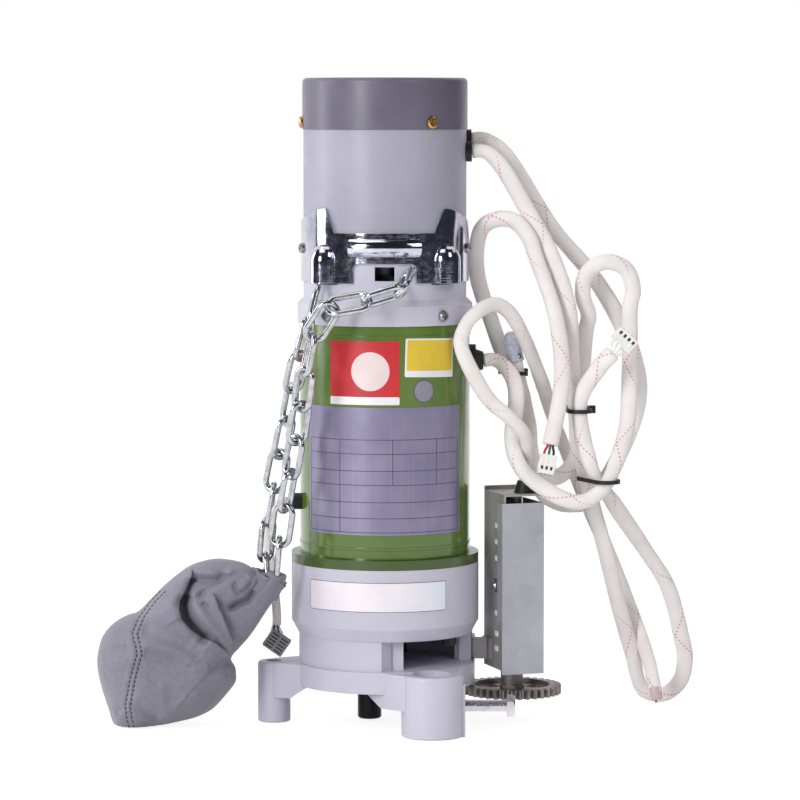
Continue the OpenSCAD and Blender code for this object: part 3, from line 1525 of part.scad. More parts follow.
stator_route = [[70, 0, 244], [79, 0, 244], [89, -5, 234], [92, -11, 219], [89, -15, 194],
    [92, -21, 179], [101, -23, 167], [121, -24, 154], [136, -22, 151], [148, -20, 158],
    [156, -16, 170], [166, -5, 199], [169, 10, 238], [169, 12, 277], [171, 12, 291], [166, 10, 305],
    [152, 6, 310], [139, 4, 302], [137, 5, 287], [141, 9, 274], [139, 13, 260], [136, 17, 222],
    [134, 20, 183], [129, 17, 170], [118, 9, 164], [106, 2, 170], [102, 0, 184], [101, 4, 199],
    [98, 6, 213], [91, 8, 248]];
limit_route = [[98, -9, 164], [98, -9, 173], [100, -16, 185], [96, -27, 198], [86, -33, 209],
    [71, -36, 223], [55, -41, 254], [57, -40, 269], [66, -34, 279], [77, -25, 283], [87, -16, 277],
    [97, -4, 260], [109, 15, 231], [119, 32, 201], [132, 40, 168], [146, 42, 135], [160, 47, 102],
    [173, 46, 69], [184, 35, 37], [189, 28, 14]];
sensor_route = [[-60, -8, 150], [-66, -8, 150], [-73, -8, 145], [-76, -8, 136], [-75, -9, 122],
    [-71, -9, 98], [-69, -6, 75], [-69, -4, 66]];
sensor_lead_d = 5;

// A tube swept along a route: one ring square to the path at each point
function unit(v) = v / norm(v);
function tangent(p, i) =
    i == 0 ? unit(p[1] - p[0])
    : i == len(p) - 1 ? unit(p[i] - p[i - 1])
    : unit(unit(p[i] - p[i - 1]) + unit(p[i + 1] - p[i]));
function first_normal(t) = unit(cross(t, abs(t[2]) < 0.8 ? [0, 0, 1] : [1, 0, 0]));
function normals(p, i = 0, n = undef) =
    i >= len(p) ? []
    : let (t = tangent(p, i), m = i == 0 ? first_normal(t) : unit(n - t * (n * t)))
        concat([m], normals(p, i + 1, m));

module swept(p, d, sides) {
    ns = normals(p);
    count = len(p);
    points = [for (i = [0:count - 1]) let (t = tangent(p, i), n = ns[i], b = cross(t, n))
        for (k = [0:sides - 1]) let (a = 360 * k / sides)
            p[i] + (n * cos(a) + b * sin(a)) * d / 2];
    walls = [for (i = [0:count - 2]) for (k = [0:sides - 1])
        let (a = i * sides + k, b = i * sides + (k + 1) % sides)
        for (f = [[a, a + sides, b], [b, a + sides, b + sides]]) f];
    caps = [for (k = [1:sides - 2]) for (f = [[0, k, k + 1],
        [(count - 1) * sides, (count - 1) * sides + k + 1, (count - 1) * sides + k]]) f];
    polyhedron(points = points, faces = concat(walls, caps));
}

lead_sides = 8;
module motor_lead() { color(sleeve_white) swept(motor_route, thick_lead_d, lead_sides); }
module brake_lead() { color(sleeve_white) swept(brake_route, thick_lead_d, lead_sides); }
module stator_lead() { color(sleeve_white) swept(stator_route, thick_lead_d, lead_sides); }
module limit_lead() { color(sleeve_white) swept(limit_route, limit_lead_d, lead_sides); }
module sensor_lead() { color(sleeve_white) swept(sensor_route, sensor_lead_d, lead_sides); }

// Children at the far end of a route, with +Z leading away from the lead
module on_end(route) {
    last = len(route) - 1;
    translate(route[last]) along(route[last] - route[last - 1]) children();
}

// A plug housing with a row of sockets, on its short bundle of wires
module plug(w, t, l, pins, wires_d, wires_l) {
    pitch_share = 0.8;
    hole_share = 0.35;
    cylinder(d = wires_d, h = wires_l);
    lift(wires_l) difference() {
        translate([-w / 2, -t / 2, 0]) cube([w, t, l]);
        for (i = [0:pins - 1]) translate([(i - (pins - 1) / 2) * w * pitch_share / pins, 0, l / 2])
            translate([-t * hole_share / 2, -t * hole_share / 2, 0])
                cube([t * hole_share, t * hole_share, l]);
        for (i = [0:pins - 1]) translate([(i - (pins - 1) / 2) * w * pitch_share / pins
            - t * hole_share / 2, -t, l / 4]) cube([t * hole_share, t * (1 - hole_share), l / 4]);
    }
}

plug_w = 11;
plug_t = 6;
plug_l = 13;
wide_plug_w = 16;
wide_plug_l = 10;
wires_d = 5;
wires_l = 7;
module motor_connector() {
    color(nylon) on_end(motor_route) plug(plug_w, plug_t, plug_l, 3, wires_d, wires_l);
}
module brake_connector() {
    color(nylon) on_end(brake_route) plug(wide_plug_w, plug_t, wide_plug_l, 4, wires_d, wires_l);
}

// The cap on the spare end of the stator lead, the limit lead's shrunk end and the ribbed
// plug of the sensor lead
cap_tube_d = 11;
cap_tube_l = 14;
shrink_l = 6;
rib_plug_w = 15;
rib_plug_h = 13;
rib_plug_t = 9;
rib_plug_tilt = 35;
rib_boot = 9;
module lead_ends() {
    grooves = 5;
    groove_share = 0.7;
    shrink_d = 7.2;
    boot_d = 6;
    color([0.86, 0.87, 0.93]) on_end(stator_route) {
        cylinder(d = cap_tube_d, h = cap_tube_l);
        lift(cap_tube_l) sphere(d = cap_tube_d);
    }
    color([0.55, 0.4, 0.4]) on_end(limit_route) cylinder(d = shrink_d, h = shrink_l);
    color([0.5, 0.5, 0.52]) translate(sensor_route[len(sensor_route) - 1]) {
        along(sensor_route[len(sensor_route) - 1] - sensor_route[len(sensor_route) - 2])
            cylinder(d = boot_d, h = rib_boot);
        translate([0, 0, -rib_boot - rib_plug_h / 4]) rotate([0, rib_plug_tilt, 0]) difference() {
            cube([rib_plug_w, rib_plug_t, rib_plug_h], center = true);
            for (i = [1:grooves]) for (s = [-1, 1])
                translate([-rib_plug_w / 2 - cut, s * rib_plug_t / 2 - cut / 2,
                    -rib_plug_h / 2 + rib_plug_h * i / (grooves + 1) - cut / 2])
                    cube([rib_plug_w * groove_share + cut, cut, cut]);
        }
    }
}

// Ties: a flat loop round each bundle, with its square head and cut tail
tie_t = 1.2;
tie_w = 2.6;
ties = [[[90.3, 13.6, 235], [5.6, 12.9], 25], [[133.7, 2.2, 211], [7.2, 22.1], 2],
    [[147.3, -5.7, 164], [8, 19.9], 24]];
module tie_loop(half) {
    r = min(half[0], half[1]);
    long = max(half[0], half[1]) - r;
    linear_extrude(tie_w) difference() {
        union() {
            for (s = [-1, 1]) translate([0, s * long]) circle(r = r + tie_t);
            square([2 * (r + tie_t), 2 * long], center = true);
        }
        for (s = [-1, 1]) translate([0, s * long]) circle(r = r);
        square([2 * r, 2 * long], center = true);
    }
}

module cable_ties() {
    head = 5;
    head_l = 4;
    tail = 9;
    color(rubber) for (t = ties) translate(t[0]) rotate([0, 0, t[2]]) lift(-tie_w / 2) {
        tie_loop(t[1]);
        translate([t[1][0] + tie_t / 2, -head / 2, -head / 4]) cube([head_l, head, head]);
        translate([t[1][0] + tie_t / 2, head / 2, 0]) cube([tie_t, tail, tie_w]);
    }
}

base_casting();
gearbox_housing();
gearbox_cover();
stator_housing();
end_bell();
brake_housing();
tail_cap();
chain_guide();
stator_core();
stator_windings();
motor_bearings();
output_bearing();
shaft_bushes();
brake_coil();
brake_backplate();
brake_springs();
housing_screws();
flange_screws();
cap_screws();
guide_screws();
lead_grommets();
cable_outlets();
tension_bolt();
limit_frame();
limit_cover();
limit_bracket();
limit_bushes();
limit_switches();
switch_carriers();
limit_screws();
guide_springs();
motor_shaft();
rotor_core();
brake_disc();
brake_armature();
counter_gear_a();
counter_gear_b();
output_gear();
output_shaft();
output_sprocket();
hand_chain_wheel();
limit_spindle();
limit_gear();
upper_nut();
lower_nut();
guide_plate();
upper_switch_lever();
lower_switch_lever();
hand_chain();
chain_bag();
motor_lead();
brake_lead();
stator_lead();
limit_lead();
sensor_lead();
motor_connector();
brake_connector();
lead_ends();
cable_ties();
window_buffer();
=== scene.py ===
import math

import bmesh
import bpy
import numpy as np
from mathutils import Matrix, Vector, noise


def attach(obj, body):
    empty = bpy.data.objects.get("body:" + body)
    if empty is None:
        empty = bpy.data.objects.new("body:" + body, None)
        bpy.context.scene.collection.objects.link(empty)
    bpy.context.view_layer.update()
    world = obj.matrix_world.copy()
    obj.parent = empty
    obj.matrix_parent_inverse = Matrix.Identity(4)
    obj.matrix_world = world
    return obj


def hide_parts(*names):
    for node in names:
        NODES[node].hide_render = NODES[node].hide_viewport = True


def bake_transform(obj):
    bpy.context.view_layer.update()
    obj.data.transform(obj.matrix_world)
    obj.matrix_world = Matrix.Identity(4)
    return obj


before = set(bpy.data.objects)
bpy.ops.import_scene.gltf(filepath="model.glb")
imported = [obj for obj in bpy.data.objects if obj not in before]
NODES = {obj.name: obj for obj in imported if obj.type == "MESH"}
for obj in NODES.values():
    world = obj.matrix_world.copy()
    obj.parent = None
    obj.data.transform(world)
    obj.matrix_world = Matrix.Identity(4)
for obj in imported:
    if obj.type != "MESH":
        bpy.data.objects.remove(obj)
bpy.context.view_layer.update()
MM = 0.001
PX = 0.67            # millimetres for one pixel of the photograph, at the axis
AXIS_PX = 379.0      # column of the pixel grid where x is 0
HORIZON_PX = 105.0   # row at the height of the eye
EYE_X, EYE_Z = 14.07, 415.0   # place of the eye across and in height
FAR = 2480.0         # distance of the eye from the axis
EYE_DOWN = 4.556     # degrees that the eye looks down
LENS = 166.6         # focal length
MOTOR_X = 4.0        # x of the motor's axis
scene = bpy.context.scene
scene.view_settings.view_transform = "Standard"


# Materials
def linear(rgb):
    """A colour of 0 to 255 as the shader's linear values."""
    out = [v / 255.0 for v in rgb]
    return tuple(v / 12.92 if v <= 0.04045 else ((v + 0.055) / 1.055) ** 2.4 for v in out) + (1.0,)


class Net:
    """A node material, built by small calls that return sockets."""

    def __init__(self, name, **shader):
        self.mat = bpy.data.materials.new(name)
        self.mat.use_nodes = True
        self.nodes = self.mat.node_tree.nodes
        self.links = self.mat.node_tree.links
        self.bsdf = self.nodes["Principled BSDF"]
        for key, value in shader.items():
            self.bsdf.inputs[key.replace("_", " ")].default_value = value

    def put(self, socket, value):
        if isinstance(value, bpy.types.NodeSocket):
            self.links.new(value, socket)
        else:
            socket.default_value = value

    def add(self, kind, inputs=(), out=0, **props):
        node = self.nodes.new("ShaderNode" + kind)
        for key, value in props.items():
            setattr(node, key, value)
        for key, value in dict(inputs).items():
            self.put(node.inputs[key], value)
        return node.outputs[out]

    def math(self, op, a, b=0.0):
        return self.add("Math", {0: a, 1: b}, operation=op)

    def mul(self, a, b):
        return self.math("MULTIPLY", a, b)

    def plus(self, a, b):
        return self.math("ADD", a, b)

    def span(self, value, lo, hi, to_lo=0.0, to_hi=1.0):
        return self.add("MapRange", {0: value, 1: lo, 2: hi, 3: to_lo, 4: to_hi})

    def noise(self, scale, detail=3.0, rough=0.5):
        return self.add("TexNoise", {
            "Vector": self.place(), "Scale": scale, "Detail": detail, "Roughness": rough})

    def place(self):
        return self.add("TexCoord", out=3)

    def parts(self, vector):
        node = self.nodes.new("ShaderNodeSeparateXYZ")
        self.links.new(vector, node.inputs[0])
        return node.outputs

    def dragged(self, scale, turn=(0.0, 0.0, 0.0), detail=2.0):
        """Noise that is stretched into lines."""
        vector = self.add("Mapping", {"Vector": self.place(), "Scale": scale, "Rotation": turn})
        return self.add("TexNoise", {"Vector": vector, "Scale": 1.0, "Detail": detail})

    def mix(self, fac, a, b):
        node = self.nodes.new("ShaderNodeMix")
        node.data_type = "RGBA"
        self.put(node.inputs[0], fac)
        self.put(node.inputs[6], a)
        self.put(node.inputs[7], b)
        return node.outputs[2]

    def bump(self, height, distance, strength=1.0, normal=None):
        inputs = {"Height": height, "Distance": distance, "Strength": strength}
        if normal:
            inputs["Normal"] = normal
        return self.add("Bump", inputs)

    def edge(self, radius):
        """The bevel node's normal, and how far it turns from the surface."""
        soft = self.add("Bevel", {"Radius": radius}, samples=4)
        hard = self.add("NewGeometry", out=1)
        dot = self.add("VectorMath", {0: soft, 1: hard}, out=1, operation="DOT_PRODUCT")
        return soft, self.span(dot, 0.995, 0.9)

    def finish(self, **sockets):
        for key, value in sockets.items():
            self.put(self.bsdf.inputs[key.replace("_", " ")], value)
        return self.mat


PAINT_EDGE, METAL_EDGE, SHEET_EDGE, CHROME_EDGE = 0.5, 0.25, 0.3, 0.35   # soft edges, mm
EDGE_WEAR = 0.35
WEAVE_TURNS, WEAVE_PITCH = 26, 0.0017       # crossings round a sleeve, metres along it
TRACER_PITCH, TRACER_DASH = 0.058, 0.0024   # metres along a sleeve
CLOTH_PITCH = 0.0011                        # two threads of the bag, metres


def lighter(values, grow, add):
    """A lighter colour."""
    return linear([min(255, v * grow + add) for v in values])


def paint(name, rgb, light, rough, grain, coat=0.0, speck=0.05):
    """Sprayed casting or sheet: mottled colour, orange peel, worn edges."""
    n = Net(name, Coat_Weight=coat, Coat_Roughness=0.12)
    soft, rim = n.edge(PAINT_EDGE * MM)
    cloud = n.noise(9.0, 4.0, 0.6)
    fine = n.noise(900.0, 2.0, 0.6)
    base = n.mix(n.span(cloud, 0.35, 0.7), linear(rgb), linear(light))
    dust = n.span(fine, 0.5, 0.78, 0.0, speck * 4)
    base = n.mix(dust, base, linear([v * 0.72 for v in rgb]))
    chips = n.mul(rim, n.span(n.noise(160.0, 3.0), 0.42, 0.6))
    base = n.mix(n.mul(chips, EDGE_WEAR), base, lighter(rgb, 1.22, 16))
    peel = n.plus(n.mul(n.noise(420.0, 2.0), 0.7), n.mul(fine, 0.5))
    return n.finish(
        Base_Color=base, Roughness=n.span(n.noise(60.0, 4.0), 0.3, 0.75, rough - 0.07, rough + 0.1),
        Normal=n.bump(peel, grain * MM, 0.6, soft))


def metal(name, rgb, rough, spread=0.08, grain=0.03, scratch=0.0, tint=None, scale=70.0):
    """Bare or plated metal: cloudy tint, fine scratches, rounded edges."""
    n = Net(name, Metallic=1.0)
    soft, rim = n.edge(METAL_EDGE * MM)
    cloud = n.noise(scale, 5.0, 0.65)
    base = n.mix(n.span(cloud, 0.35, 0.7), linear(rgb), linear(tint or [v * 0.8 for v in rgb]))
    base = n.mix(n.mul(rim, 0.5), base, lighter(rgb, 1.2, 12))
    lines = n.dragged((40.0, 1400.0, 1400.0), (0.3, 0.5, 0.4))
    height = n.plus(n.mul(lines, scratch), n.noise(500.0, 2.0))
    return n.finish(
        Base_Color=base, Roughness=n.span(cloud, 0.3, 0.75, rough, rough + spread),
        Normal=n.bump(height, grain * MM, 0.5, soft))


def moulded(name, rgb, rough, light=None, grain=0.03, **shader):
    """Moulded plastic or rubber with a faint mould grain."""
    n = Net(name, **shader)
    soft, rim = n.edge(SHEET_EDGE * MM)
    base = n.mix(n.span(n.noise(45.0, 4.0), 0.35, 0.7), linear(rgb),
                 linear(light or [v * 0.88 for v in rgb]))
    base = n.mix(n.mul(rim, 0.3), base, lighter(rgb, 1.15, 8))
    return n.finish(
        Base_Color=base, Roughness=n.span(n.noise(300.0, 3.0), 0.3, 0.7, rough - 0.05, rough + 0.1),
        Normal=n.bump(n.noise(1500.0, 2.0), grain * MM, 0.5, soft))


def zinc_sheet(name, rgb, dark, rough):
    """Galvanised sheet: brushed along Z with soft spangle."""
    n = Net(name, Metallic=0.45)
    soft, rim = n.edge(SHEET_EDGE * MM)
    cell = n.add("TexVoronoi", {"Vector": n.place(), "Scale": 120.0}, out=1)
    spangle = n.add("SeparateColor", {0: cell})
    cloud = n.noise(22.0, 5.0, 0.6)
    lines = n.dragged((1600.0, 1600.0, 30.0))
    fac = n.plus(n.mul(spangle, 0.22), n.span(cloud, 0.3, 0.75, 0.0, 0.7))
    base = n.mix(fac, linear(rgb), linear(dark))
    base = n.mix(n.mul(rim, 0.6), base, lighter(rgb, 1.2, 0))
    return n.finish(
        Base_Color=base, Roughness=n.span(cloud, 0.3, 0.7, rough, rough + 0.12),
        Normal=n.bump(n.plus(lines, n.noise(140.0, 3.0)), 0.03 * MM, 0.5, soft))


def chrome(name):
    """Bright plating over rolled sheet, with fine haze and short scratches."""
    n = Net(name, Metallic=1.0)
    soft, _ = n.edge(CHROME_EDGE * MM)
    cloud = n.noise(40.0, 6.0, 0.7)
    base = n.mix(n.span(cloud, 0.4, 0.7), linear((214, 215, 228)), linear((176, 177, 196)))
    haze = n.noise(260.0, 4.0, 0.7)
    lines = n.dragged((90.0, 90.0, 1100.0), (0.6, 0.9, 0.3), 3.0)
    rough = n.span(haze, 0.35, 0.75, 0.05, 0.2)
    height = n.plus(n.mul(n.noise(90.0, 3.0), 2.2), n.plus(lines, n.mul(haze, 0.6)))
    return n.finish(Base_Color=base, Roughness=rough, Normal=n.bump(height, 0.045 * MM, 0.55, soft))


def sleeving(name):
    """Woven glass sleeving with two dotted pink tracers that cross each other, and painted shade in
    the low places of the weave.
    """
    n = Net(name, Sheen_Weight=0.25, Sheen_Roughness=0.5, Subsurface_Weight=0.06,
            Subsurface_Scale=0.004)
    u, v, _ = n.parts(n.add("TexCoord", out=2))   # turn from 0 to 1, and metres along
    around = n.mul(u, WEAVE_TURNS * math.tau)
    along = n.mul(v, math.tau / WEAVE_PITCH)
    a = n.math("SINE", n.plus(around, along))
    b = n.math("SINE", n.math("SUBTRACT", around, along))
    weave = n.mul(a, b)
    cloud = n.noise(28.0, 4.0, 0.6)
    base = n.mix(n.span(cloud, 0.35, 0.7), linear((240, 237, 235)), linear((228, 219, 217)))
    # painted shade: the colour is darkened where the weave is low, between the threads
    base = n.mix(n.span(weave, -1.0, 0.2, 0.22, 0.0), base, linear((196, 186, 186)))
    lead = n.math("DIVIDE", v, TRACER_PITCH)
    for op, shift in (("ADD", 0.15), ("SUBTRACT", 0.6)):
        turn = n.math("FRACT", n.plus(n.math(op, u, lead), shift))
        near = n.span(n.math("ABSOLUTE", n.math("SUBTRACT", turn, 0.5)), 0.012, 0.022, 1.0, 0.0)
        dash = n.math("FRACT", n.math("DIVIDE", v, TRACER_DASH))
        dot = n.span(dash, 0.45, 0.62, 1.0, 0.0)
        patch = n.span(n.noise(16.0, 2.0), 0.42, 0.55)
        base = n.mix(n.mul(n.mul(near, dot), n.mul(patch, 0.75)), base, linear((214, 92, 120)))
    height = n.plus(n.mul(weave, 0.5), n.mul(n.noise(700.0, 3.0), 0.8))
    return n.finish(Base_Color=base, Roughness=n.span(cloud, 0.3, 0.7, 0.5, 0.68),
                    Normal=n.bump(height, 0.12 * MM, 0.6))


def oxford(name, rgb, light, dark):
    """Plain-woven bag cloth, with painted shade in the low places of the weave."""
    n = Net(name, Sheen_Weight=0.35, Sheen_Roughness=0.4)
    turned = n.add("Mapping", {"Vector": n.place(), "Rotation": (0.0, math.radians(-28), 0.0)})
    x, _, z = n.parts(turned)
    step = math.tau / CLOTH_PITCH
    warp = n.math("SINE", n.mul(x, step))
    weft = n.math("SINE", n.mul(z, step))
    weave = n.mul(warp, weft)
    cloud = n.noise(14.0, 5.0, 0.6)
    slub = n.noise(420.0, 3.0, 0.6)
    base = n.mix(n.span(cloud, 0.35, 0.7), linear(rgb), linear(light))
    # painted shade: darker where the weave is low, between the threads
    base = n.mix(n.span(weave, -1.0, 0.3, 0.3, 0.0), base, linear(dark))
    base = n.mix(n.span(slub, 0.45, 0.75, 0.0, 0.3), base, linear(dark))
    height = n.plus(weave, n.mul(slub, 0.8))
    return n.finish(Base_Color=base, Roughness=n.span(cloud, 0.3, 0.7, 0.62, 0.78),
                    Normal=n.bump(height, 0.1 * MM, 0.6))


def foil(name, rgb, light, rough=0.35, metallic=0.0, rainbow=0.0, lines=0.0):
    """Printed or metallised label film."""
    n = Net(name, Metallic=metallic, Coat_Weight=0.35, Coat_Roughness=0.15)
    cloud = n.noise(30.0, 4.0, 0.55)
    base = n.mix(n.span(cloud, 0.35, 0.7), linear(rgb), linear(light))
    if lines:
        brush = n.dragged((2600.0, 2600.0, 14.0))
        base = n.mix(n.span(brush, 0.35, 0.7, 0.0, lines), base, linear([v * 0.8 for v in rgb]))
    if rainbow:
        wide = n.noise(11.0, 1.0)
        hue = n.add("ValToRGB", {0: wide})
        ramp = hue.node.color_ramp
        ramp.elements[0].color = linear((236, 214, 232))
        ramp.elements[1].color = linear((206, 226, 244))
        for place, rgb_at in ((0.42, (244, 216, 208)), (0.5, (210, 240, 244)),
                              (0.58, (200, 206, 246))):
            ramp.elements.new(place).color = linear(rgb_at)
        base = n.mix(rainbow, base, hue)
    return n.finish(Base_Color=base, Roughness=n.span(cloud, 0.3, 0.7, rough, rough + 0.12),
                    Normal=n.bump(n.noise(160.0, 3.0), 0.02 * MM, 0.5))


M = {
    "cast": paint("cast_grey", (188, 186, 201), (201, 199, 213), 0.42, 0.1),
    "upper": paint("upper_grey", (152, 150, 165), (166, 164, 179), 0.4, 0.06),
    "cap": paint("cap_grey", (92, 88, 104), (108, 104, 121), 0.36, 0.06),
    "green": paint("stator_green", (78, 106, 30), (92, 122, 40), 0.2, 0.05, coat=0.6, speck=0.03),
    # The cover ring takes a darker copy of the stator's green paint: painted shade
    "ring": paint("shaded_stator_green", (56, 78, 24), (68, 92, 30), 0.3, 0.06, coat=0.3, speck=0.03),
    "steel": metal("turned_steel", (170, 170, 173), 0.3, scratch=1.0),
    "plated": metal("plated_bolt", (226, 222, 228), 0.22, tint=(196, 192, 200)),
    "black_steel": metal("black_steel", (38, 36, 38), 0.32, spread=0.2),
    "chrome": chrome("guide_chrome"),
    "link": metal("chain_zinc", (206, 207, 212), 0.14, spread=0.14, grain=0.05, scale=200.0),
    "bronze": metal("bush_bronze", (176, 134, 80), 0.35),
    "yellow": metal("yellow_zinc", (214, 168, 84), 0.25, tint=(190, 150, 110), scale=300.0),
    "copper": metal("winding_copper", (184, 104, 58), 0.4, scratch=1.5),
    "nylon": moulded("nylon", (238, 236, 230), 0.4, light=(226, 223, 216),
                     Subsurface_Weight=0.1, Subsurface_Scale=0.003),
    "rubber": moulded("rubber", (22, 22, 24), 0.55, light=(32, 31, 33)),
    "zinc": zinc_sheet("zinc_cover", (186, 187, 194), (158, 159, 168), 0.36),
    "frame": zinc_sheet("zinc_frame", (172, 168, 170), (142, 138, 141), 0.42),
    "gear": metal("sintered_gear", (156, 146, 144), 0.42, spread=0.2, grain=0.1, scale=260.0),
    "sleeve": sleeving("glass_sleeve"),
    "bag": oxford("bag_cloth", (122, 120, 133), (140, 138, 152), (84, 82, 96)),
}
LOOK = {
    "cast": ["base_casting", "gearbox_housing", "end_bell"],
    "upper": ["brake_housing"], "cap": ["tail_cap"],
    "green": ["stator_housing"], "ring": ["gearbox_cover"], "chrome": ["chain_guide"],
    "black_steel": ["brake_coil", "brake_disc", "motor_shaft", "output_shaft", "output_sprocket"],
    "plated": ["tension_bolt"],
    "link": ["hand_chain"], "bronze": ["shaft_bushes", "limit_bushes"],
    "yellow": ["cap_screws"], "copper": ["stator_windings"],
    "rubber": ["lead_grommets", "cable_outlets", "limit_switches",
               "cable_ties", "window_buffer"],
    "nylon": ["switch_carriers", "upper_nut", "lower_nut", "motor_connector",
              "brake_connector", "lead_ends"],
    "zinc": ["limit_cover"], "frame": ["limit_frame", "limit_bracket"], "gear": ["limit_gear"],
    "sleeve": ["motor_lead", "brake_lead", "stator_lead", "limit_lead", "sensor_lead"],
    "bag": ["chain_bag"],
}
LOOK_OF = {name: look for look, names in LOOK.items() for name in names}
for name, node in NODES.items():
    mats, look = node.data.materials, M[LOOK_OF.get(name, "steel")]
    if not mats:
        mats.append(look)
    for i in range(len(mats)):
        mats[i] = look


# Pieces
def turns(count):
    """Even angles round a circle."""
    return [math.tau * k / count for k in range(count)]


def piece(name, verts, faces, mat, uvs=None):
    """A smooth mesh object from points in millimetres, with a UV pair for each face corner."""
    mesh = bpy.data.meshes.new(name)
    mesh.from_pydata([[c * MM for c in v] for v in verts], [], faces)
    mesh.update()
    obj = bpy.data.objects.new(name, mesh)
    scene.collection.objects.link(obj)
    mesh.materials.append(mat)
    mesh.polygons.foreach_set("use_smooth", [True] * len(mesh.polygons))
    if uvs is not None:
        layer = mesh.uv_layers.new(name="UVMap")
        layer.data.foreach_set("uv", [c for corner in uvs for c in corner])
    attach(obj, "frame")
    return obj


def spline(a, b, c, d, t):
    """A Catmull-Rom curve between b and c."""
    return 0.5 * (2 * b + (c - a) * t + (2 * a - 5 * b + 4 * c - d) * t * t
                  + (3 * b - a - 3 * c + d) * t ** 3)


def curve_points(points, step):
    """A smooth curve through the points, about one point for each step."""
    p = [Vector(q) for q in points]
    out = []
    for i in range(len(p) - 1):
        a, b, c, d = p[max(i - 1, 0)], p[i], p[i + 1], p[min(i + 2, len(p) - 1)]
        count = max(2, round((c - b).length / step))
        out += [spline(a, b, c, d, k / count) for k in range(count)]
    out.append(p[-1])
    return out


def sweep(points, section, sides=24):
    """A tube whose wide axis stays across the view; section gives its half axes and its turn."""
    count = len(points)
    wide = Vector((1, 0, 0))
    verts, uvs, run = [], [], 0.0
    for i, p in enumerate(points):
        t = (points[min(i + 1, count - 1)] - points[max(i - 1, 0)]).normalized()
        flat = t.cross(Vector((0, 1, 0)))
        wide = (flat + wide * 0.35) if i and flat.length > 0.2 else (flat if i == 0 else wide)
        wide = (wide - t * wide.dot(t)).normalized()
        thin = t.cross(wide)
        if i:
            run += (p - points[i - 1]).length
        a, b, turn = section(run, p)
        c, s = math.cos(turn), math.sin(turn)
        for k in range(sides):
            angle = math.tau * k / sides
            x, y = a * math.cos(angle), b * math.sin(angle)
            verts.append(p + wide * (x * c - y * s) + thin * (x * s + y * c))
            uvs.append((k / sides, run * MM))
    faces, corner = [], []
    for i in range(count - 1):
        for k in range(sides):
            j = (k + 1) % sides
            face = [i * sides + k, i * sides + j, (i + 1) * sides + j, (i + 1) * sides + k]
            faces.append(face)
            for q in face:
                u, v = uvs[q]
                corner.append((1.0 if j == 0 and q % sides == 0 else u, v))
    for base, order in ((0, -1), ((count - 1) * sides, 1)):
        face = [base + k for k in range(sides)][::order]
        faces.append(face)
        corner += [uvs[q] for q in face]
    return verts, faces, corner


def pressed_springs(name, node):
    """A copy of the node's springs, with the node's transform baked into the mesh; the node is
    hidden.
    """
    obj = bpy.data.objects.new(name, NODES[node].data.copy())
    scene.collection.objects.link(obj)
    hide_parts(node)
    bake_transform(obj)


pressed_springs("pressed_brake_springs", "brake_springs")
pressed_springs("pressed_guide_springs", "guide_springs")


# Leads
ROUTES = {
    "motor": [(62, 12, 392), (71, 12, 392), (83, 13, 383), (95, 14, 366), (118, 17, 331),
        (145, 23, 299), (166, 28, 263), (177, 28, 224), (167, 26, 186), (146, 25, 150),
        (132, 25, 144), (118, 23, 147), (108, 19, 157), (98, 18, 182), (92, 20, 223),
        (78, 18, 263), (66, 8, 301), (67, 3, 328), (76, -2, 338), (90, -7, 338), (100, -10, 327),
        (105, -10, 313), (118, -13, 274), (122, -21, 233), (114, -31, 190)],
    "brake": [(62, -4, 384), (71, -4, 384), (82, -5, 374), (98, -5, 347), (114, -5, 318),
        (127, -4, 279), (130, -1, 237), (133, 3, 195), (142, 7, 154), (153, 16, 115),
        (163, 28, 76), (174, 41, 38), (177, 45, 24), (183, 50, 12), (197, 56, 9), (208, 59, 18),
        (211, 58, 32), (209, 55, 46), (198, 42, 85), (179, 23, 116), (159, 0, 146),
        (142, -12, 174), (134, -15, 215), (146, -15, 239), (156, -15, 250)],
    "stator": [(70, 0, 244), (79, 0, 244), (89, -5, 234), (92, -11, 219), (89, -15, 194),
        (92, -21, 179), (101, -23, 167), (121, -24, 154), (136, -22, 151), (148, -20, 158),
        (156, -16, 170), (166, -5, 199), (169, 10, 238), (169, 12, 277), (171, 12, 291),
        (166, 10, 305), (152, 6, 310), (139, 4, 302), (137, 5, 287), (141, 9, 274), (139, 13, 260),
        (136, 17, 222), (134, 20, 183), (129, 17, 170), (118, 9, 164), (106, 2, 170),
        (102, 0, 184), (101, 4, 199), (98, 6, 213), (91, 8, 248)],
    "limit": [(98, -9, 164), (98, -9, 173), (100, -16, 185), (96, -27, 198), (86, -33, 209),
        (71, -36, 223), (55, -41, 254), (57, -40, 269), (66, -34, 279), (77, -25, 283),
        (87, -16, 277), (97, -4, 260), (109, 15, 231), (119, 32, 201), (132, 40, 168),
        (146, 42, 135), (160, 47, 102), (173, 46, 69), (184, 35, 37), (189, 28, 14)],
    "sensor": [(-60, -8, 150), (-66, -8, 150), (-73, -8, 145), (-76, -8, 136), (-75, -9, 122),
        (-71, -9, 98), (-69, -6, 75), (-69, -4, 66)],
}
TIES = [Vector(t) for t in ((90.3, 13.6, 235), (133.7, 2.2, 211), (147.3, -5.7, 164))]
SLEEVE_STEP = 2.6                # between a sleeve's rings, mm
EXIT_ROUND, EXIT_FADE = 4, 20    # a sleeve is round this far from its exit, then flattens
TIE_ROUND, TIE_FADE = 7, 14      # and so on both sides of a tie


def ease(v):
    """Smooth step from 0 to 1."""
    v = np.clip(v, 0, 1)
    return v * v * (3 - 2 * v)


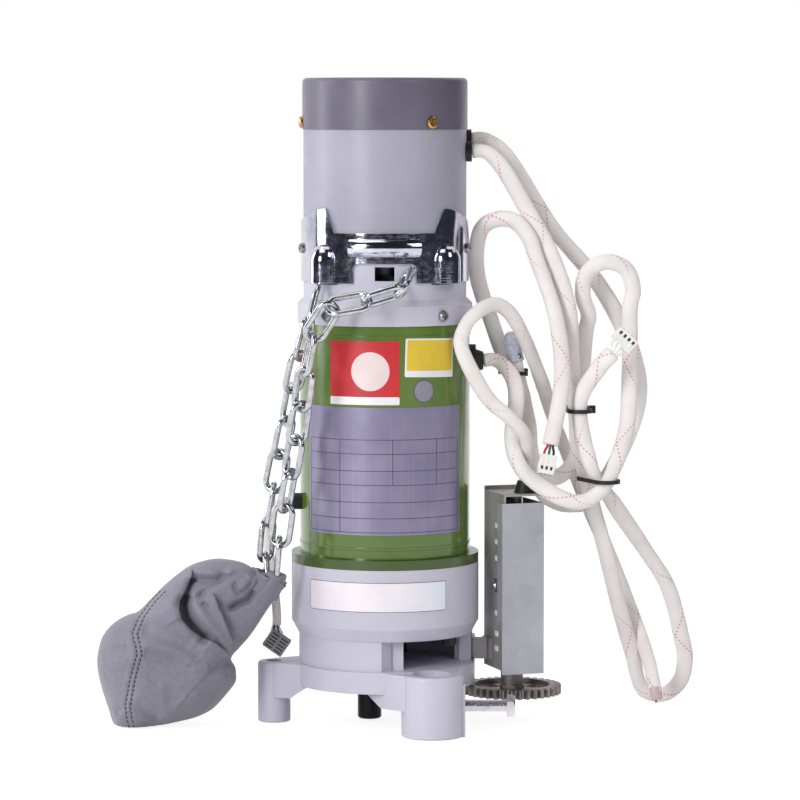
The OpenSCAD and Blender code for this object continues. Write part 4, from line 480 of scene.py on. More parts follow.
def lead(name, d, seed):
    """A sleeve along its route: pressed flat, but round at its exit and in its ties."""
    path = curve_points(ROUTES[name], SLEEVE_STEP)

    def section(run, p):
        free = min([ease((run - EXIT_ROUND) / EXIT_FADE)]
                   + [ease(((p - t).length - TIE_ROUND) / TIE_FADE) for t in TIES])
        flat = noise.noise(Vector((run * 0.016, seed, 0.0)))
        ripple = 0.035 * noise.noise(Vector((run * 0.14, seed + 5, 0.0)))
        a = d / 2 * (1.0 + free * (0.2 + 0.2 * flat + ripple))
        b = d / 2 * (0.97 - free * (0.2 + 0.16 * flat - ripple))
        return a, b, free * 0.7 * noise.noise(Vector((run * 0.012, seed + 9, 2.0)))

    verts, faces, corner = sweep(path, section)
    obj = piece(name + "_sleeve", verts, faces, M["sleeve"], corner)
    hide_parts(name + "_lead")
    length = sum((path[i + 1] - path[i]).length for i in range(len(path) - 1)) * MM
    return obj, path, length, d * MM


LEADS = {name: lead(name, d, seed) for name, d, seed in (
    ("motor", 9.0, 1.0), ("brake", 9.0, 11.0), ("stator", 9.0, 23.0), ("limit", 8.0, 31.0),
    ("sensor", 5.0, 43.0))}


# Lead ends
for name, rgb in (("wire_red", (190, 30, 34)), ("wire_green", (24, 104, 56)),
                  ("wire_black", (26, 24, 28)), ("wire_white", (226, 224, 222))):
    M[name] = moulded(name, rgb, 0.35, light=[min(255, v * 1.1 + 6) for v in rgb])
# Thin dark blocks stand in for the plugs' slot openings: painted shade, not holes
M["painted_slot_shade"] = moulded("painted_slot_shade", (52, 50, 66), 0.6)
M["plug_grey"] = moulded("plug_grey", (124, 120, 126), 0.5, light=(142, 138, 144))
M["shrink"] = moulded("shrink_sleeve", (208, 184, 186), 0.4, light=(196, 170, 174))
M["cap_clear"] = moulded("cap_clear", (214, 216, 234), 0.25, light=(226, 226, 240), grain=0.01,
                         Transmission_Weight=0.35, Subsurface_Weight=0.3, Subsurface_Scale=0.003)
SMOOTH_AREA = 2e-6   # larger faces of a kit stay flat, square metres
TURNED_SIDES = 32


class Kit:
    """Bevelled blocks and bent rods gathered in one mesh, in a local frame in millimetres."""

    def __init__(self, place):
        self.place, self.mesh, self.mats = place, bmesh.new(), []

    def index(self, mat):
        if mat not in self.mats:
            self.mats.append(mat)
        return self.mats.index(mat)

    def add(self, verts, faces, mat):
        made = [self.mesh.verts.new(self.place @ Vector(v)) for v in verts]
        for f in faces:
            self.mesh.faces.new([made[i] for i in f]).material_index = self.index(mat)

    def block(self, centre, size, bevel, mat):
        part = bmesh.new()
        bmesh.ops.create_cube(part, size=1.0)
        bmesh.ops.scale(part, vec=size, verts=part.verts)
        bmesh.ops.bevel(part, geom=part.edges[:], offset=bevel, segments=2, profile=0.6,
                        affect="EDGES")
        self.add([v.co + Vector(centre) for v in part.verts],
                 [[v.index for v in f.verts] for f in part.faces], mat)
        part.free()

    def rod(self, points, d, mat, sides=10):
        path = curve_points(points, 0.8)
        verts, faces, _ = sweep(path, lambda run, p: (d / 2, d / 2, 0), sides)
        self.add(verts, faces, mat)

    def turned(self, profile, mat):
        angles = turns(TURNED_SIDES)
        verts, faces = ring_mesh([[(r * math.cos(a), r * math.sin(a), z) for a in angles]
                                  for r, z in profile])
        faces.append(list(range(TURNED_SIDES))[::-1])
        self.add(verts, faces, mat)

    def done(self, name, slot, *nodes):
        mesh = bpy.data.meshes.new(name)
        bmesh.ops.scale(self.mesh, vec=(MM, MM, MM), verts=self.mesh.verts)
        bmesh.ops.recalc_face_normals(self.mesh, faces=self.mesh.faces)
        self.mesh.to_mesh(mesh)
        self.mesh.free()
        obj = bpy.data.objects.new(name, mesh)
        scene.collection.objects.link(obj)
        for m in self.mats:
            mesh.materials.append(m)
        mesh.polygons.foreach_set("use_smooth", [
            len(p.vertices) == 4 and p.area < SMOOTH_AREA for p in mesh.polygons])
        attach(obj, "frame")
        if nodes:
            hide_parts(*nodes)
        return obj


def ring_mesh(rings, closed=True):
    """Faces between rings of equal count, each ring closed on itself."""
    n = len(rings[0])
    faces = []
    for j in range(len(rings) - 1):
        faces += [[j * n + k, j * n + (k + 1) % n, (j + 1) * n + (k + 1) % n, (j + 1) * n + k]
                  for k in range(n)]
    if closed:
        faces.append([(len(rings) - 1) * n + k for k in range(n)])
    return [v for ring in rings for v in ring], faces


def end_frame(name):
    """Local frame at a lead's end: Z along it, X across the view, -Y to the front."""
    z = (Vector(ROUTES[name][-1]) - Vector(ROUTES[name][-2])).normalized()
    x = Vector((0, 1, 0)).cross(z).normalized()
    y = z.cross(x)
    m = Matrix((x, y, z)).transposed().to_4x4()
    m.translation = LEADS[name][1][-1]
    return m


def connector(name, width, depth, height, pins, colours, *nodes):
    """A white crimp housing with latch ribs, the wires that enter it, and thin dark blocks of
    painted shade where its slots open.
    """
    kit = Kit(end_frame(name))
    pitch = (width - 1.6) / pins   # the end walls take 0.8 mm each
    base = 7.0                     # length of bare wire
    kit.block((0, 0, base + height / 2), (width, depth, height), 0.5, M["nylon"])
    kit.block((0, 0, base + 0.9), (width + 0.9, depth + 0.7, 1.8), 0.35, M["nylon"])
    for side in (-1, 1):
        kit.block((side * (width / 2 + 0.15), 0.4, base + height * 0.62),
                  (0.7, depth * 0.5, height * 0.4), 0.2, M["nylon"])
    for i in range(pins):
        x = (i - (pins - 1) / 2) * pitch
        # painted shade: thin dark blocks on the front and top where the slots open
        kit.block((x, -depth / 2, base + height * 0.7), (pitch * 0.5, 0.3, 2.4), 0.1,
                  M["painted_slot_shade"])
        kit.block((x, -depth / 2 - 0.1, base + height * 0.36), (pitch * 0.24, 0.7, 3.2), 0.12,
                  M["nylon"])
        kit.block((x, 0, base + height), (pitch * 0.55, 2.0, 0.3), 0.1, M["painted_slot_shade"])
        kit.rod([(x * 0.5, 0.3 * (i % 2), -3), (x * 0.62, -0.5, 1.5), (x * 0.95, -0.4, 4.5),
                 (x, 0, base + 1)], 1.7, M[colours[i]])
    return kit.done(name + "_plug", "nylon", *nodes)


motor_plug = connector("motor", 11, 6, 13, 3, ("wire_black", "wire_green", "wire_red"),
                       "motor_connector")
brake_plug = connector("brake", 16, 6, 10, 4, ("wire_white",) * 4, "brake_connector")

kit = Kit(end_frame("stator"))
kit.turned([(5.0, -5.5), (5.7, -5.4), (6.0, -4.6), (5.75, -2), (5.6, 4), (5.5, 8), (5.2, 10.5),
            (4.4, 12.8), (3.0, 14.4), (1.4, 15.2)], M["cap_clear"])
kit.rod([(2.6, -4.9, -3.6), (3.9, -4.6, -2.6), (3.6, -4.8, -0.9), (2.2, -5.2, -1.0)], 0.9,
        M["wire_black"], 8)
stator_cap = kit.done("stator_cap", "nylon", "lead_ends")

kit = Kit(end_frame("limit"))
kit.turned([(3.9, -4), (4.15, -3.6), (4.0, 0), (3.9, 3.2), (3.5, 4.4), (2.9, 4.8)], M["shrink"])
for i, look in enumerate(("wire_red", "wire_black", "wire_white")):
    a = math.tau * i / 3
    kit.rod([(math.cos(a), math.sin(a), 3), (1.1 * math.cos(a), 1.1 * math.sin(a), 6.4)], 1.4,
            M[look], 8)
limit_end = kit.done("limit_shrink", "nylon", "lead_ends")

PLUG_TURN = -math.radians(35)
kit = Kit(Matrix.Translation(LEADS["sensor"][1][-1]) @ Matrix.Rotation(math.pi, 4, "X"))
for i, look in enumerate(("wire_white", "wire_black", "wire_white", "wire_black", "wire_white")):
    x = (i - 2) * 1.5
    kit.rod([(x * 0.35, 0, -3), (x * 0.8 - 0.6, 0.5 * (i % 2), 2), (x * 1.3, 0.3, 6)], 1.25,
            M[look], 8)
kit.place = kit.place @ Matrix.Translation((0, 0, 12.25)) @ Matrix.Rotation(PLUG_TURN, 4, "Y")
kit.block((0, 0, 0), (15, 9, 13), 0.8, M["plug_grey"])
# painted shade: thin dark blocks on the sides where the plug's slots open
for row in range(5):
    for x, y in ((-3.5, 4.5), (-3.5, -4.5), (3.5, 4.5), (3.5, -4.5)):
        kit.block((x, y, -4.6 + row * 2.3), (5.4, 0.4, 1.0), 0.15, M["painted_slot_shade"])
sensor_plug = kit.done("sensor_plug", "nylon", "lead_ends")

for name, far_end, end in (
        ("motor", "connector", motor_plug), ("brake", "connector", brake_plug),
        ("stator", "fitting", stator_cap), ("limit", "bare", limit_end),
        ("sensor", "plug", sensor_plug)):
    obj, path, length, d = LEADS[name]
    [c * MM for c in path[0]]
    [[c * MM for c in p] for p in path]


# Chain bag
CROP = 7.127           # times the bag's view was enlarged
CROP_CORNER = 80, 545


def crop(points):
    """Points of the enlarged bag, back in the photograph's pixels."""
    x0, y0 = CROP_CORNER
    return np.array([(x0 + x / CROP, y0 + y / CROP) for x, y in points], float)


# Outline of the bag in the photograph's pixels
BAG_LINE = [(286, 577), (277, 573), (269, 572), (262, 574), (256, 573), (251, 569), (242, 564),
            (229, 561), (216, 560), (203, 562), (189, 567), (176, 576), (164, 586), (150, 600),
            (137, 613), (126, 617), (115, 623), (106, 631), (99, 642), (95, 659), (95, 671),
            (97, 683), (101, 698), (106, 713), (110, 726), (116, 731), (128, 734), (140, 733),
            (150, 731), (171, 727), (192, 722), (204, 717), (213, 711), (225, 698), (234, 686),
            (235, 678), (234, 670), (230, 661), (238, 651), (247, 641), (255, 630), (266, 613),
            (277, 597), (283, 587)]
BAG_MID = np.array((165.0, 650.0))


def closed_line(points, count):
    """A smooth closed line through the points, with even steps along it."""
    p = np.array(points, float)
    n = len(p)
    dense = []
    for i in range(n):
        a, b, c, d = p[i - 1], p[i], p[(i + 1) % n], p[(i + 2) % n]
        dense += [spline(a, b, c, d, t) for t in np.linspace(0, 1, 24, endpoint=False)]
    dense = np.array(dense + [dense[0]])
    run = np.concatenate([[0], np.cumsum(np.linalg.norm(np.diff(dense, axis=0), axis=1))])
    at = np.linspace(0, run[-1], count, endpoint=False)
    return np.stack([np.interp(at, run, dense[:, k]) for k in (0, 1)], axis=1)


def near(line, q, closed=False):
    """Distance in mm, side, place along the line and direction away from it, for points in px."""
    pts = np.vstack([line, line[:1]]) if closed else line
    best = np.full(len(q), 1e9)
    side, run, away = np.zeros(len(q)), np.zeros(len(q)), np.zeros((len(q), 2))
    steps = np.linalg.norm(np.diff(pts, axis=0), axis=1)
    total, done = steps.sum(), 0.0
    for a, b, step in zip(pts[:-1], pts[1:], steps):
        d = b - a
        t = np.clip(((q - a) @ d) / (step * step), 0, 1)
        gap = q - (a + t[:, None] * d)
        dist = np.linalg.norm(gap, axis=1)
        hit = dist < best
        best[hit] = dist[hit]
        side[hit] = np.sign(d[0] * (q - a)[hit, 1] - d[1] * (q - a)[hit, 0])
        run[hit] = ((done + t * step) / total)[hit]
        away[hit] = gap[hit]
        done += step
    unit = away / np.maximum(best, 1e-6)[:, None]
    return best * PX, side, run, unit


# Folds as (kind, height mm, width mm, points): a step is raised on its left or lower side
FOLDS = [
    ("step", 8, 22, [(805, 130), (775, 230), (735, 320), (690, 410), (682, 470), (700, 545),
        (760, 615), (850, 690), (950, 730), (1030, 785), (1075, 835)]),
    ("fold", -17, 4.5, [(745, 350), (725, 440), (745, 540), (830, 635), (925, 720)]),
    ("fold", -10, 3, [(790, 240), (760, 320), (740, 400)]),
    ("fold", 5, 3.5, [(780, 290), (800, 420), (900, 560), (985, 680), (1060, 790)]),
    ("step", 6, 14, [(935, 350), (960, 430), (1000, 520), (1035, 620), (1078, 745)]),
    ("fold", 3, 4, [(785, 165), (900, 195), (1010, 225), (1110, 205)]),
    ("fold", -5, 3, [(785, 262), (880, 268), (980, 258), (1015, 225), (1040, 200)]),
    ("fold", -3, 2.2, [(835, 405), (880, 345), (960, 290), (1030, 250), (1110, 222)]),
    ("fold", 2.5, 2.5, [(1040, 190), (1110, 190), (1200, 200), (1245, 225)]),
    ("fold", -3, 1.6, [(1105, 260), (1098, 320), (1125, 365), (1185, 335), (1230, 260)]),
    ("fold", 2.5, 3, [(1150, 290), (1190, 265), (1215, 235)]),
    ("fold", -8, 2.4, [(1300, 215), (1312, 250), (1275, 300), (1225, 350), (1190, 405),
        (1110, 440), (1040, 480)]),
    ("fold", -2.5, 2, [(860, 425), (890, 450), (905, 440)]),
    ("fold", -3.5, 7, [(410, 600), (560, 640), (720, 720), (880, 790)]),
    ("fold", -2.5, 4, [(430, 790), (560, 830), (680, 850)]),
    ("fold", 3.2, 4, [(400, 715), (560, 740), (700, 790), (800, 850), (815, 890)]),
    ("fold", -2, 5, [(640, 560), (700, 640), (800, 720)]),
    ("fold", 2.2, 4, [(565, 1010), (590, 1150), (600, 1260), (560, 1330)]),
    ("fold", 1.6, 3.5, [(860, 1070), (700, 1160), (600, 1270)]),
    ("fold", -2.8, 3, [(330, 1150), (430, 1200), (560, 1275)]),
    ("fold", -2.2, 2.5, [(235, 1225), (290, 1185)]),
    ("fold", -1.6, 3, [(400, 1310), (470, 1290), (560, 1300)]),
    ("fold", -2.0, 6, [(140, 830), (230, 800), (350, 770)]),
    ("fold", -1.5, 5, [(150, 960), (260, 930), (330, 940)]),
    ("fold", -1.8, 5, [(900, 900), (1000, 880), (1080, 900)]),
    ("fold", 1.6, 6, [(760, 960), (900, 980), (1050, 960)]),
    ("fold", 2, 4, [(470, 560), (560, 500), (640, 420), (700, 300)]),
]
SEAM = [(572, 335), (490, 420), (410, 530), (362, 650), (385, 740), (395, 800), (365, 900),
        (340, 1000), (322, 1100), (308, 1180), (318, 1260), (335, 1345)]
SEAM_STEP = 36   # between the two rows of stitches, enlarged pixels
BAG_EDGE = closed_line(BAG_LINE, 400)
BODY_HALF, BODY_Y = 36, 21      # half thickness of the bag's body, and how far to the front
NECK_HALF, NECK_Y = 13.5, 42    # the same of its neck
NECK_FROM = 112     # the body starts to narrow here, to the left of the axis
BACK_SHARE = 0.86   # how far the back bulges, as a share of the front
EDGE_SOFT = 5.0     # folds fade out this close to the outline, mm
OVERLAP = 2.4       # how far a raised step leans over its lower side, mm
SEAM_SINK = 1.1     # mm


def rough_field(q, scale, seed):
    return np.array([noise.noise(Vector((x / scale, y / scale, seed))) for x, y in q])


def bag_side(q, front):
    """Pixel places and depths in mm of one side of the bag, for points inside its outline."""
    edge = near(BAG_EDGE, q, closed=True)[0]
    x = (q[:, 0] - AXIS_PX) * PX
    narrow = x + NECK_FROM
    full = BODY_HALF - (BODY_HALF - NECK_HALF) * ease(narrow / 36)
    mid = -BODY_Y - (NECK_Y - BODY_Y) * ease(narrow / 40)
    d = np.minimum(edge, full)
    bulge = full * np.power(1 - np.power(1 - d / full, 2.3), 1 / 2.1)
    q = q.copy()
    if not front:
        return q, mid + bulge * BACK_SHARE
    soft = ease(edge / EDGE_SOFT)
    lift = 1.3 * rough_field(q, 38.0, 3.0) + 0.5 * rough_field(q, 13.0, 8.0)
    move = np.zeros_like(q)
    for kind, height, width, points in FOLDS:
        dist, side, run, unit = near(crop(points), q)
        taper = ease(np.minimum(run, 1 - run) / 0.16 + 0.12)
        if kind == "fold":
            lift += height * np.exp(-(dist / width) ** 2) * taper
        else:
            signed = dist * side
            high = np.exp(-np.maximum(signed, 0) / width)
            low = -0.35 * np.exp(-np.maximum(-signed, 0) / (width * 0.4))
            across = ease((signed + 0.7) / 1.4)
            lift += height * (across * high + (1 - across) * low) * taper
            pull = OVERLAP * np.exp(-np.maximum(signed, 0) / 3.0) * across * taper
            move -= unit * np.sign(signed)[:, None] * (pull / PX)[:, None]
    for k in (0, SEAM_STEP):
        dist, _, run, _ = near(crop([(x + k, y) for x, y in SEAM]), q)
        lift -= SEAM_SINK * np.exp(-(dist / 1.1) ** 2) * ease(np.minimum(run, 1 - run) / 0.05)
    q += move * soft[:, None]
    return q, mid - bulge - lift * soft


def bag_points(q, y):
    scale = PX * (1 + y / FAR)
    z = EYE_Z - (q[:, 1] - HORIZON_PX) * scale
    return np.stack([(q[:, 0] - AXIS_PX) * scale, y, np.maximum(z, 0.3)], axis=1)


def make_bag():
    """Front and back of the bag, joined at its outline."""
    verts, faces = [], []
    count = len(BAG_EDGE)
    rim = None
    for front, rows in ((True, 100), (False, 36)):
        u = np.arange(1, rows + 1) / rows
        f = 0.5 * u + 0.5 * np.sin(u * math.pi / 2)
        if not front:
            f = f[:-1]
        grid = BAG_MID + (BAG_EDGE[None] - BAG_MID) * f[:, None, None]
        flat = np.vstack([BAG_MID[None], grid.reshape(-1, 2)])
        places, y = bag_side(flat, front)
        base = len(verts)
        verts += [tuple(v) for v in bag_points(places, y)]
        order = 1 if front else -1
        for k in range(count):
            m = (k + 1) % count
            faces.append([base, base + 1 + m, base + 1 + k][::order])
            for j in range(len(f) - 1):
                a = base + 1 + j * count
                faces.append([a + k, a + m, a + count + m, a + count + k][::order])
        last = base + 1 + (len(f) - 1) * count
        if front:
            rim = last
        else:
            faces += [[last + k, last + (k + 1) % count, rim + (k + 1) % count, rim + k][::order]
                      for k in range(count)]
    bag = piece("cloth_bag", verts, faces, M["bag"])
    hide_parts("chain_bag")


STITCH, STITCH_GAP, THREAD = 3.0, 1.6, 0.42   # lengths in pixels, radius in mm


def make_stitches():
    """Two rows of thread along the seam."""
    verts, faces = [], []
    for shift in (0, SEAM_STEP):
        line = crop([(x + shift, y) for x, y in SEAM])
        run = np.concatenate([[0], np.cumsum(np.linalg.norm(np.diff(line, axis=0), axis=1))])
        at = 1.5
        while at < run[-1] - 4:
            spots = [at, at + STITCH / 2, at + STITCH]
            q = np.stack([np.interp(spots, run, line[:, k]) for k in (0, 1)], axis=1)
            places, y = bag_side(q, True)
            pts = bag_points(places, y - np.array((-0.25, 0.4, -0.25)))
            along = Vector(pts[2] - pts[0]).normalized()
            side = along.cross(Vector((0, 1, 0))).normalized()
            for p in pts:
                for t in turns(6):
                    verts.append(Vector(p) + side * (THREAD * math.cos(t))
                                 + Vector((0, 1, 0)) * (THREAD * math.sin(t)))
            b = len(verts) - 18
            for j in (0, 6):
                faces += [[b + j + a, b + j + (a + 1) % 6, b + j + 6 + (a + 1) % 6, b + j + 6 + a]
                          for a in range(6)]
            faces += [[b + a for a in range(5, -1, -1)], [b + 12 + a for a in range(6)]]
            at += STITCH + STITCH_GAP
    piece("bag_stitches", verts, faces, M["thread"])


M["thread"] = moulded("dark_thread", (34, 32, 42), 0.7, light=(54, 50, 64))
make_bag()
make_stitches()


def make_mouth():
    """The gathered hem at the bag's neck, open upward round the chain."""
    axis = Vector((0.42, -0.1, 0.9)).normalized()
    across = axis.cross(Vector((0, 1, 0))).normalized()
    deep = axis.cross(across)
    base = Vector((-77.4, -40, 92))
    rings = []
    # Height along the axis, radius, and depth of the gathers
    for t, r, out in ((0, 11.3, 0.2), (4, 10.8, 0.6), (8, 10.8, 1.0), (11, 11.8, 1.3),
                      (12.6, 12.4, 1.4), (13.0, 11.8, 1.4), (12.2, 11.1, 1.3), (8, 9.8, 0.9),
                      (2, 9.2, 0.5)):
        ring = []
        for a in turns(96):
            wave = out * (math.sin(9 * a + 0.5) + 0.6 * math.sin(5 * a + 1.9)) * 0.6
            rr = r + wave
            tilt = 1.2 * math.sin(a + 0.6) + 0.5 * math.sin(4 * a) * (t > 9)
            ring.append(base + axis * (t + tilt) + across * rr * math.cos(a)
                        + deep * rr * 0.95 * math.sin(a))
        rings.append(ring)
    verts, faces = ring_mesh(rings)
    piece("bag_mouth", verts, faces, M["bag"])


LINK_BEND, LINK_STRAIGHT, LINK_WIRE = 6.5, 15.0, 4.0
LINK_STEPS, LINK_SIDES = 24, 14


def make_link(name, centre, axis):
    """One welded link beyond the strands of the part, edge on, going into the bag."""
    turn = Vector((0, 0, 1)).rotation_difference(Vector(axis)).to_matrix() @ Matrix.Rotation(
        math.radians(90), 3, "Z")
    path = []
    for half in (1, -1):
        for k in range(LINK_STEPS + 1):
            a = math.pi * k / LINK_STEPS + (0 if half > 0 else math.pi)
            path.append(Vector((LINK_BEND * math.cos(a), 0,
                                half * LINK_STRAIGHT / 2 + LINK_BEND * math.sin(a))))
    n = len(path)
    rings = []
    for i, p in enumerate(path):
        t = (path[(i + 1) % n] - path[i - 1]).normalized()
        side = t.cross(Vector((0, 1, 0))) * (LINK_WIRE / 2)
        ring = []
        for a in turns(LINK_SIDES):
            out = side * math.cos(a) + Vector((0, LINK_WIRE / 2 * math.sin(a), 0))
            ring.append(Vector(centre) + turn @ (p + out))
        rings.append(ring)
    verts, faces = ring_mesh(rings + [rings[0]], closed=False)
    piece(name, verts, faces, M["link"])


make_mouth()
make_link("bag_link_left", (-74.1, -38.1, 104.4), (-0.1, 0.35, 0.93))
make_link("bag_link_right", (-66.6, -47.2, 116.2), (0.08, -0.3, 0.95))


# Labels
def wrap(name, radius, shape, mat, steps=60, t=0.22, off=0.02, lean=None):
    """A thin film bent on a cylinder: shape gives for each arc length its lowest and highest z."""
    def place(s, z, r):
        if lean:
            tilt, mid, z0 = lean
            s, z = (mid + (s - mid) * math.cos(tilt) - (z - z0) * math.sin(tilt),
                    z0 + (s - mid) * math.sin(tilt) + (z - z0) * math.cos(tilt))
        a = s / radius
        return Vector((MOTOR_X + r * math.sin(a), -r * math.cos(a), z))

    cols = shape(steps)
    r0, r1 = radius + off, radius + off + t
    verts, faces = [], []
    for s, lo, hi in cols:
        verts += [place(s, lo, r1), place(s, hi, r1)]
    n = len(cols)
    faces += [[2 * i, 2 * i + 2, 2 * i + 3, 2 * i + 1] for i in range(n - 1)]
    loop = [(s, lo) for s, lo, hi in cols] + [(s, hi) for s, lo, hi in reversed(cols)]
    base = len(verts)
    for s, z in loop:
        verts += [place(s, z, r1), place(s, z, r0)]
    m = len(loop)
    faces += [[base + 2 * i, base + 2 * i + 1, base + 2 * ((i + 1) % m) + 1,
               base + 2 * ((i + 1) % m)] for i in range(m)]
    piece(name, verts, faces, mat)


def rect(s0, s1, z0, z1, corner):
    """Columns of a rounded rectangle."""
    def shape(steps):
        xs = [s0 + corner * (1 - math.cos(a)) for a in np.linspace(0, math.pi / 2, 8)]
        xs += list(np.linspace(s0 + corner, s1 - corner, steps))[1:-1]
        xs += [s1 - corner * (1 - math.cos(a)) for a in np.linspace(math.pi / 2, 0, 8)]
        out = []
        for x in xs:
            e = max(s0 + corner - x, x - (s1 - corner), 0.0)
            cut = corner - math.sqrt(max(corner * corner - e * e, 0.0))
            out.append((x, z0 + cut, z1 - cut))
        return out
    return shape


def disc(sc, zc, r):
    def shape(steps):
        out = []
        for a in np.linspace(-math.pi / 2, math.pi / 2, steps):
            h = r * math.cos(a)
            out.append((sc + r * math.sin(a), zc - h, zc + h))
        return out
    return shape


def on_tube(px, py, radius):
    """Arc length and height of a pixel on the front of a cylinder about the motor axis."""
    a = 0.0
    for _ in range(30):
        f = PX * (1 - radius * math.cos(a) / FAR)
        a = math.asin(max(-1.0, min(1.0, ((px - AXIS_PX) * f - MOTOR_X) / radius)))
    return a * radius, EYE_Z - (py - HORIZON_PX) * f


def box_on(x0, y0, x1, y1, radius):
    s0, _ = on_tube(x0, y0, radius)
    s1, _ = on_tube(x1, y0, radius)
    f = PX * (1 - radius * math.cos((s0 + s1) / 2 / radius) / FAR)
    return s0, s1, EYE_Z - (y1 - HORIZON_PX) * f, EYE_Z - (y0 - HORIZON_PX) * f


for name, rgb, light in (
        ("red_film", (186, 22, 32), (198, 32, 40)),
        ("white_film", (238, 236, 238), (226, 224, 230)),
        ("pale_film", (232, 214, 214), (222, 200, 202)),
        ("yellow_film", (226, 196, 40), (214, 182, 52))):
    M[name] = foil(name, rgb, light)
M["silver_film"] = foil("silver_film", (178, 172, 186), (152, 146, 164), 0.3, 0.55, lines=0.4)
M["plate_film"] = foil("plate_film", (150, 144, 172), (128, 122, 156), 0.32, 0.4, lines=0.5)
M["ink_film"] = foil("ink_film", (70, 52, 92), (92, 74, 112), 0.4)
M["strip_film"] = foil("strip_film", (232, 230, 242), (220, 216, 234), 0.3, 0.1, rainbow=0.3)

TUBE, CUP = 57.0, 63.0   # radii that the labels lie on
# The labels in the photograph's pixels: left, top, right and bottom, or a round one's centre
RED_PX, RED_DISC_PX = (331, 341, 400, 405), (370.5, 371.5)
YELLOW_PX, ROUND_PX = (405.6, 338, 453, 377), (424.5, 391)
PLATE_PX, STRIP_PX = (310, 408, 459.6, 537), (310.5, 585, 446.5, 615)
OVER = 0.24              # a film on top of another starts this far out
RED_FOOT = 5.2           # height of the white foot of the red label
s0, s1, z0, z1 = box_on(*RED_PX, TUBE)
wrap("label_red", TUBE, rect(s0, s1, z0 + RED_FOOT, z1, 0.8), M["red_film"])
wrap("label_red_foot", TUBE, rect(s0, s1, z0, z0 + RED_FOOT, 0.8), M["white_film"])
wrap("label_red_disc", TUBE, disc(*on_tube(*RED_DISC_PX, TUBE), 12.8), M["pale_film"], 50, 0.06,
     OVER)
s0, s1, z0, z1 = box_on(*YELLOW_PX, TUBE)
lean = -0.03, (s0 + s1) / 2, (z0 + z1) / 2
wrap("label_yellow_edge", TUBE, rect(s0, s1, z0, z1, 1.0), M["white_film"], 40, lean=lean)
wrap("label_yellow", TUBE, rect(s0 + 1.2, s1 - 1.2, z0 + 4.2, z1 - 1.2, 0.6), M["yellow_film"], 40,
     0.06, OVER, lean)
centre = on_tube(*ROUND_PX, TUBE)
wrap("label_round_rim", TUBE, disc(*centre, 7.4), M["ink_film"], 44, 0.18)
wrap("label_round", TUBE, disc(*centre, 6.9), M["silver_film"], 44, 0.24)
s0, s1, z0, z1 = box_on(*PLATE_PX, TUBE)
wrap("nameplate", TUBE, rect(s0, s1, z0, z1, 1.6), M["plate_film"], 90, 0.3)
LINE = 0.55


def ruled(name, u0, u1, v0, v1):
    """An inked line of the nameplate between fractions of its width and height from the top."""
    a, b = s0 + u0 * (s1 - s0), s0 + u1 * (s1 - s0)
    lo, hi = z1 - v1 * (z1 - z0), z1 - v0 * (z1 - z0)
    if u0 == u1:
        a, b = a - LINE / 2, b + LINE / 2
    if v0 == v1:
        lo, hi = lo - LINE / 2, hi + LINE / 2
    wrap(name, TUBE, rect(a, b, lo, hi, 0.12), M["ink_film"], 60 if v0 == v1 else 3, 0.05, 0.33)


LEFT, RIGHT, HEAD, ROW_4, FOOT = 0.019, 0.975, 0.252, 0.607, 0.978   # of the plate's ruled table
for i, v in enumerate((HEAD, 0.363, 0.496, ROW_4, 0.741, 0.867, FOOT)):
    ruled("plate_row_%d" % i, LEFT, RIGHT, v, v)
for i, (u, end) in enumerate(((LEFT, FOOT), (0.245, FOOT), (0.547, ROW_4), (0.805, ROW_4),
                              (RIGHT, FOOT))):
    ruled("plate_column_%d" % i, u, u, HEAD, end)
s0, s1, z0, z1 = box_on(*STRIP_PX, CUP)
EDGE = 0.35
wrap("label_strip_edge", CUP, rect(s0, s1, z0, z1, 1.4), M["ink_film"], 80, 0.16)
wrap("label_strip", CUP, rect(s0 + EDGE, s1 - EDGE, z0 + EDGE, z1 - EDGE, 1.2), M["strip_film"],
     80)

# Camera and light
camera = bpy.data.objects.new("camera", bpy.data.cameras.new("camera"))
scene.collection.objects.link(camera)
scene.camera = camera
camera.data.lens = LENS
camera.data.sensor_width = 36.0
camera.data.clip_end = 30.0
camera.location = (EYE_X * MM, -FAR * MM, EYE_Z * MM)
camera.rotation_euler = (math.radians(90 - EYE_DOWN), 0.0, 0.0)


def lamp(name, place, aim, size, watts, size_y):
    data = bpy.data.lights.new(name, "AREA")
    data.shape = "RECTANGLE"
    data.size = size
    data.size_y = size_y
    data.energy = watts
    obj = bpy.data.objects.new(name, data)
    scene.collection.objects.link(obj)
    obj.location = place
    obj.rotation_euler = (Vector(aim) - Vector(place)).to_track_quat("-Z", "Y").to_euler()


lamp("key", (-1.15, -1.75, 0.95), (0, 0, 0.25), 0.45, 25.5, 1.3)
lamp("fill", (1.2, -1.2, 1.3), (0, 0, 0.42), 0.5, 5.5, 0.9)
lamp("top", (-0.5, -0.1, 2.1), (0, 0, 0.2), 1.3, 6.0, 0.9)
lamp("side", (-1.9, 0.2, 0.8), (0, 0, 0.25), 0.5, 13.0, 1.4)

world = bpy.data.worlds.new("studio")
scene.world = world
world.use_nodes = True
wn, wl = world.node_tree.nodes, world.node_tree.links


def ray_mix(nodes, links, seen, lit):
    """A value that is seen by camera, gloss and transmission rays and lit by the others."""
    path = nodes.new("ShaderNodeLightPath")
    out = path.outputs["Is Camera Ray"]
    for ray in ("Is Glossy Ray", "Is Transmission Ray"):
        top = nodes.new("ShaderNodeMath")
        top.operation = "MAXIMUM"
        links.new(out, top.inputs[0])
        links.new(path.outputs[ray], top.inputs[1])
        out = top.outputs[0]
    span = nodes.new("ShaderNodeMapRange")
    links.new(out, span.inputs[0])
    span.inputs[3].default_value = lit
    span.inputs[4].default_value = seen
    return span.outputs[0]


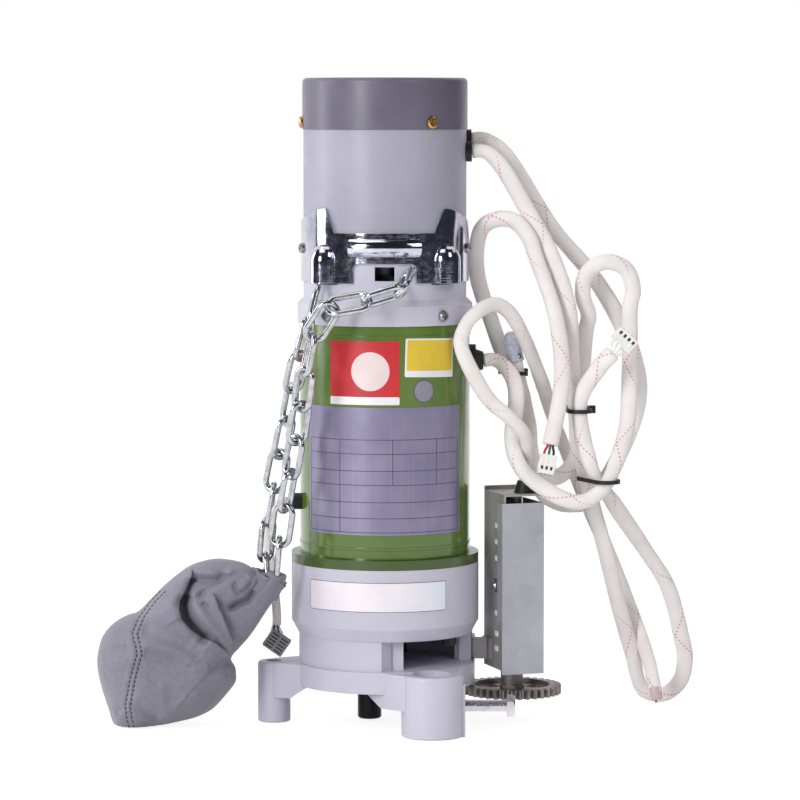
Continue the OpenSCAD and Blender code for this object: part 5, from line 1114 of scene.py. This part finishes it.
WORLD_SEEN, WORLD_LIT = 1.0, 0.45
background = wn["Background"]
background.inputs[0].default_value = (1, 1, 1, 1)
wl.new(ray_mix(wn, wl, WORLD_SEEN, WORLD_LIT), background.inputs[1])


def stage_plane(name, corners, mat, seen=True):
    """A plane of the studio; one that isn't seen shows only in gloss."""
    mesh = bpy.data.meshes.new(name)
    mesh.from_pydata(corners, [], [(0, 1, 2, 3)])
    mesh.materials.append(mat)
    obj = bpy.data.objects.new(name, mesh)
    scene.collection.objects.link(obj)
    for kind in ("camera", "shadow", "diffuse", "transmission", "volume_scatter"):
        setattr(obj, "visible_" + kind, seen)


FLOOR_Z = -0.0003
GLOW, GLOW_SHARE = 1.32, 0.66   # the floor's own light, and its share where it is seen
floor = Net("floor_white", Roughness=0.9)
shade = floor.mix(floor.span(floor.noise(3.0), 0.3, 0.7, 0.0, 0.4), (0.93, 0.93, 0.93, 1),
                  (0.9, 0.9, 0.9, 1))
floor.finish(Base_Color=shade)
glow = floor.nodes.new("ShaderNodeEmission")
glow.inputs[0].default_value = (1, 1, 1, 1)
glow.inputs[1].default_value = GLOW
blend = floor.nodes.new("ShaderNodeMixShader")
floor.links.new(ray_mix(floor.nodes, floor.links, GLOW_SHARE, 0.0), blend.inputs[0])
floor.links.new(floor.bsdf.outputs[0], blend.inputs[1])
floor.links.new(glow.outputs[0], blend.inputs[2])
floor.links.new(blend.outputs[0], floor.nodes["Material Output"].inputs[0])
stage_plane("floor", [(x, y, FLOOR_Z) for x, y in ((-6, -6), (6, -6), (6, 6), (-6, 6))], floor.mat)
flag = Net("flag_black", Roughness=0.95)
flag.finish(Base_Color=flag.mix(flag.noise(4.0), (0.012, 0.012, 0.02, 1), (0.05, 0.05, 0.075, 1)))
W, FRONT, LOW, TOP = 2.6, -3.4, -0.3, 2.8   # half width, front, foot and top of the dark cards
for name, corners in (
        ("front", [(-W, FRONT, LOW), (W, FRONT, LOW), (W, FRONT, TOP), (-W, FRONT, TOP)]),
        ("left", [(-W, FRONT, LOW), (-W, 0.9, LOW), (-W, 0.9, TOP), (-W, FRONT, TOP)]),
        ("right", [(W, FRONT, LOW), (W, 2.6, LOW), (W, 2.6, TOP), (W, FRONT, TOP)]),
        ("above", [(-W, FRONT, TOP), (W, FRONT, TOP), (W, 0.6, TOP), (-W, 0.6, TOP)])):
    stage_plane("flag_" + name, corners, flag.mat, False)
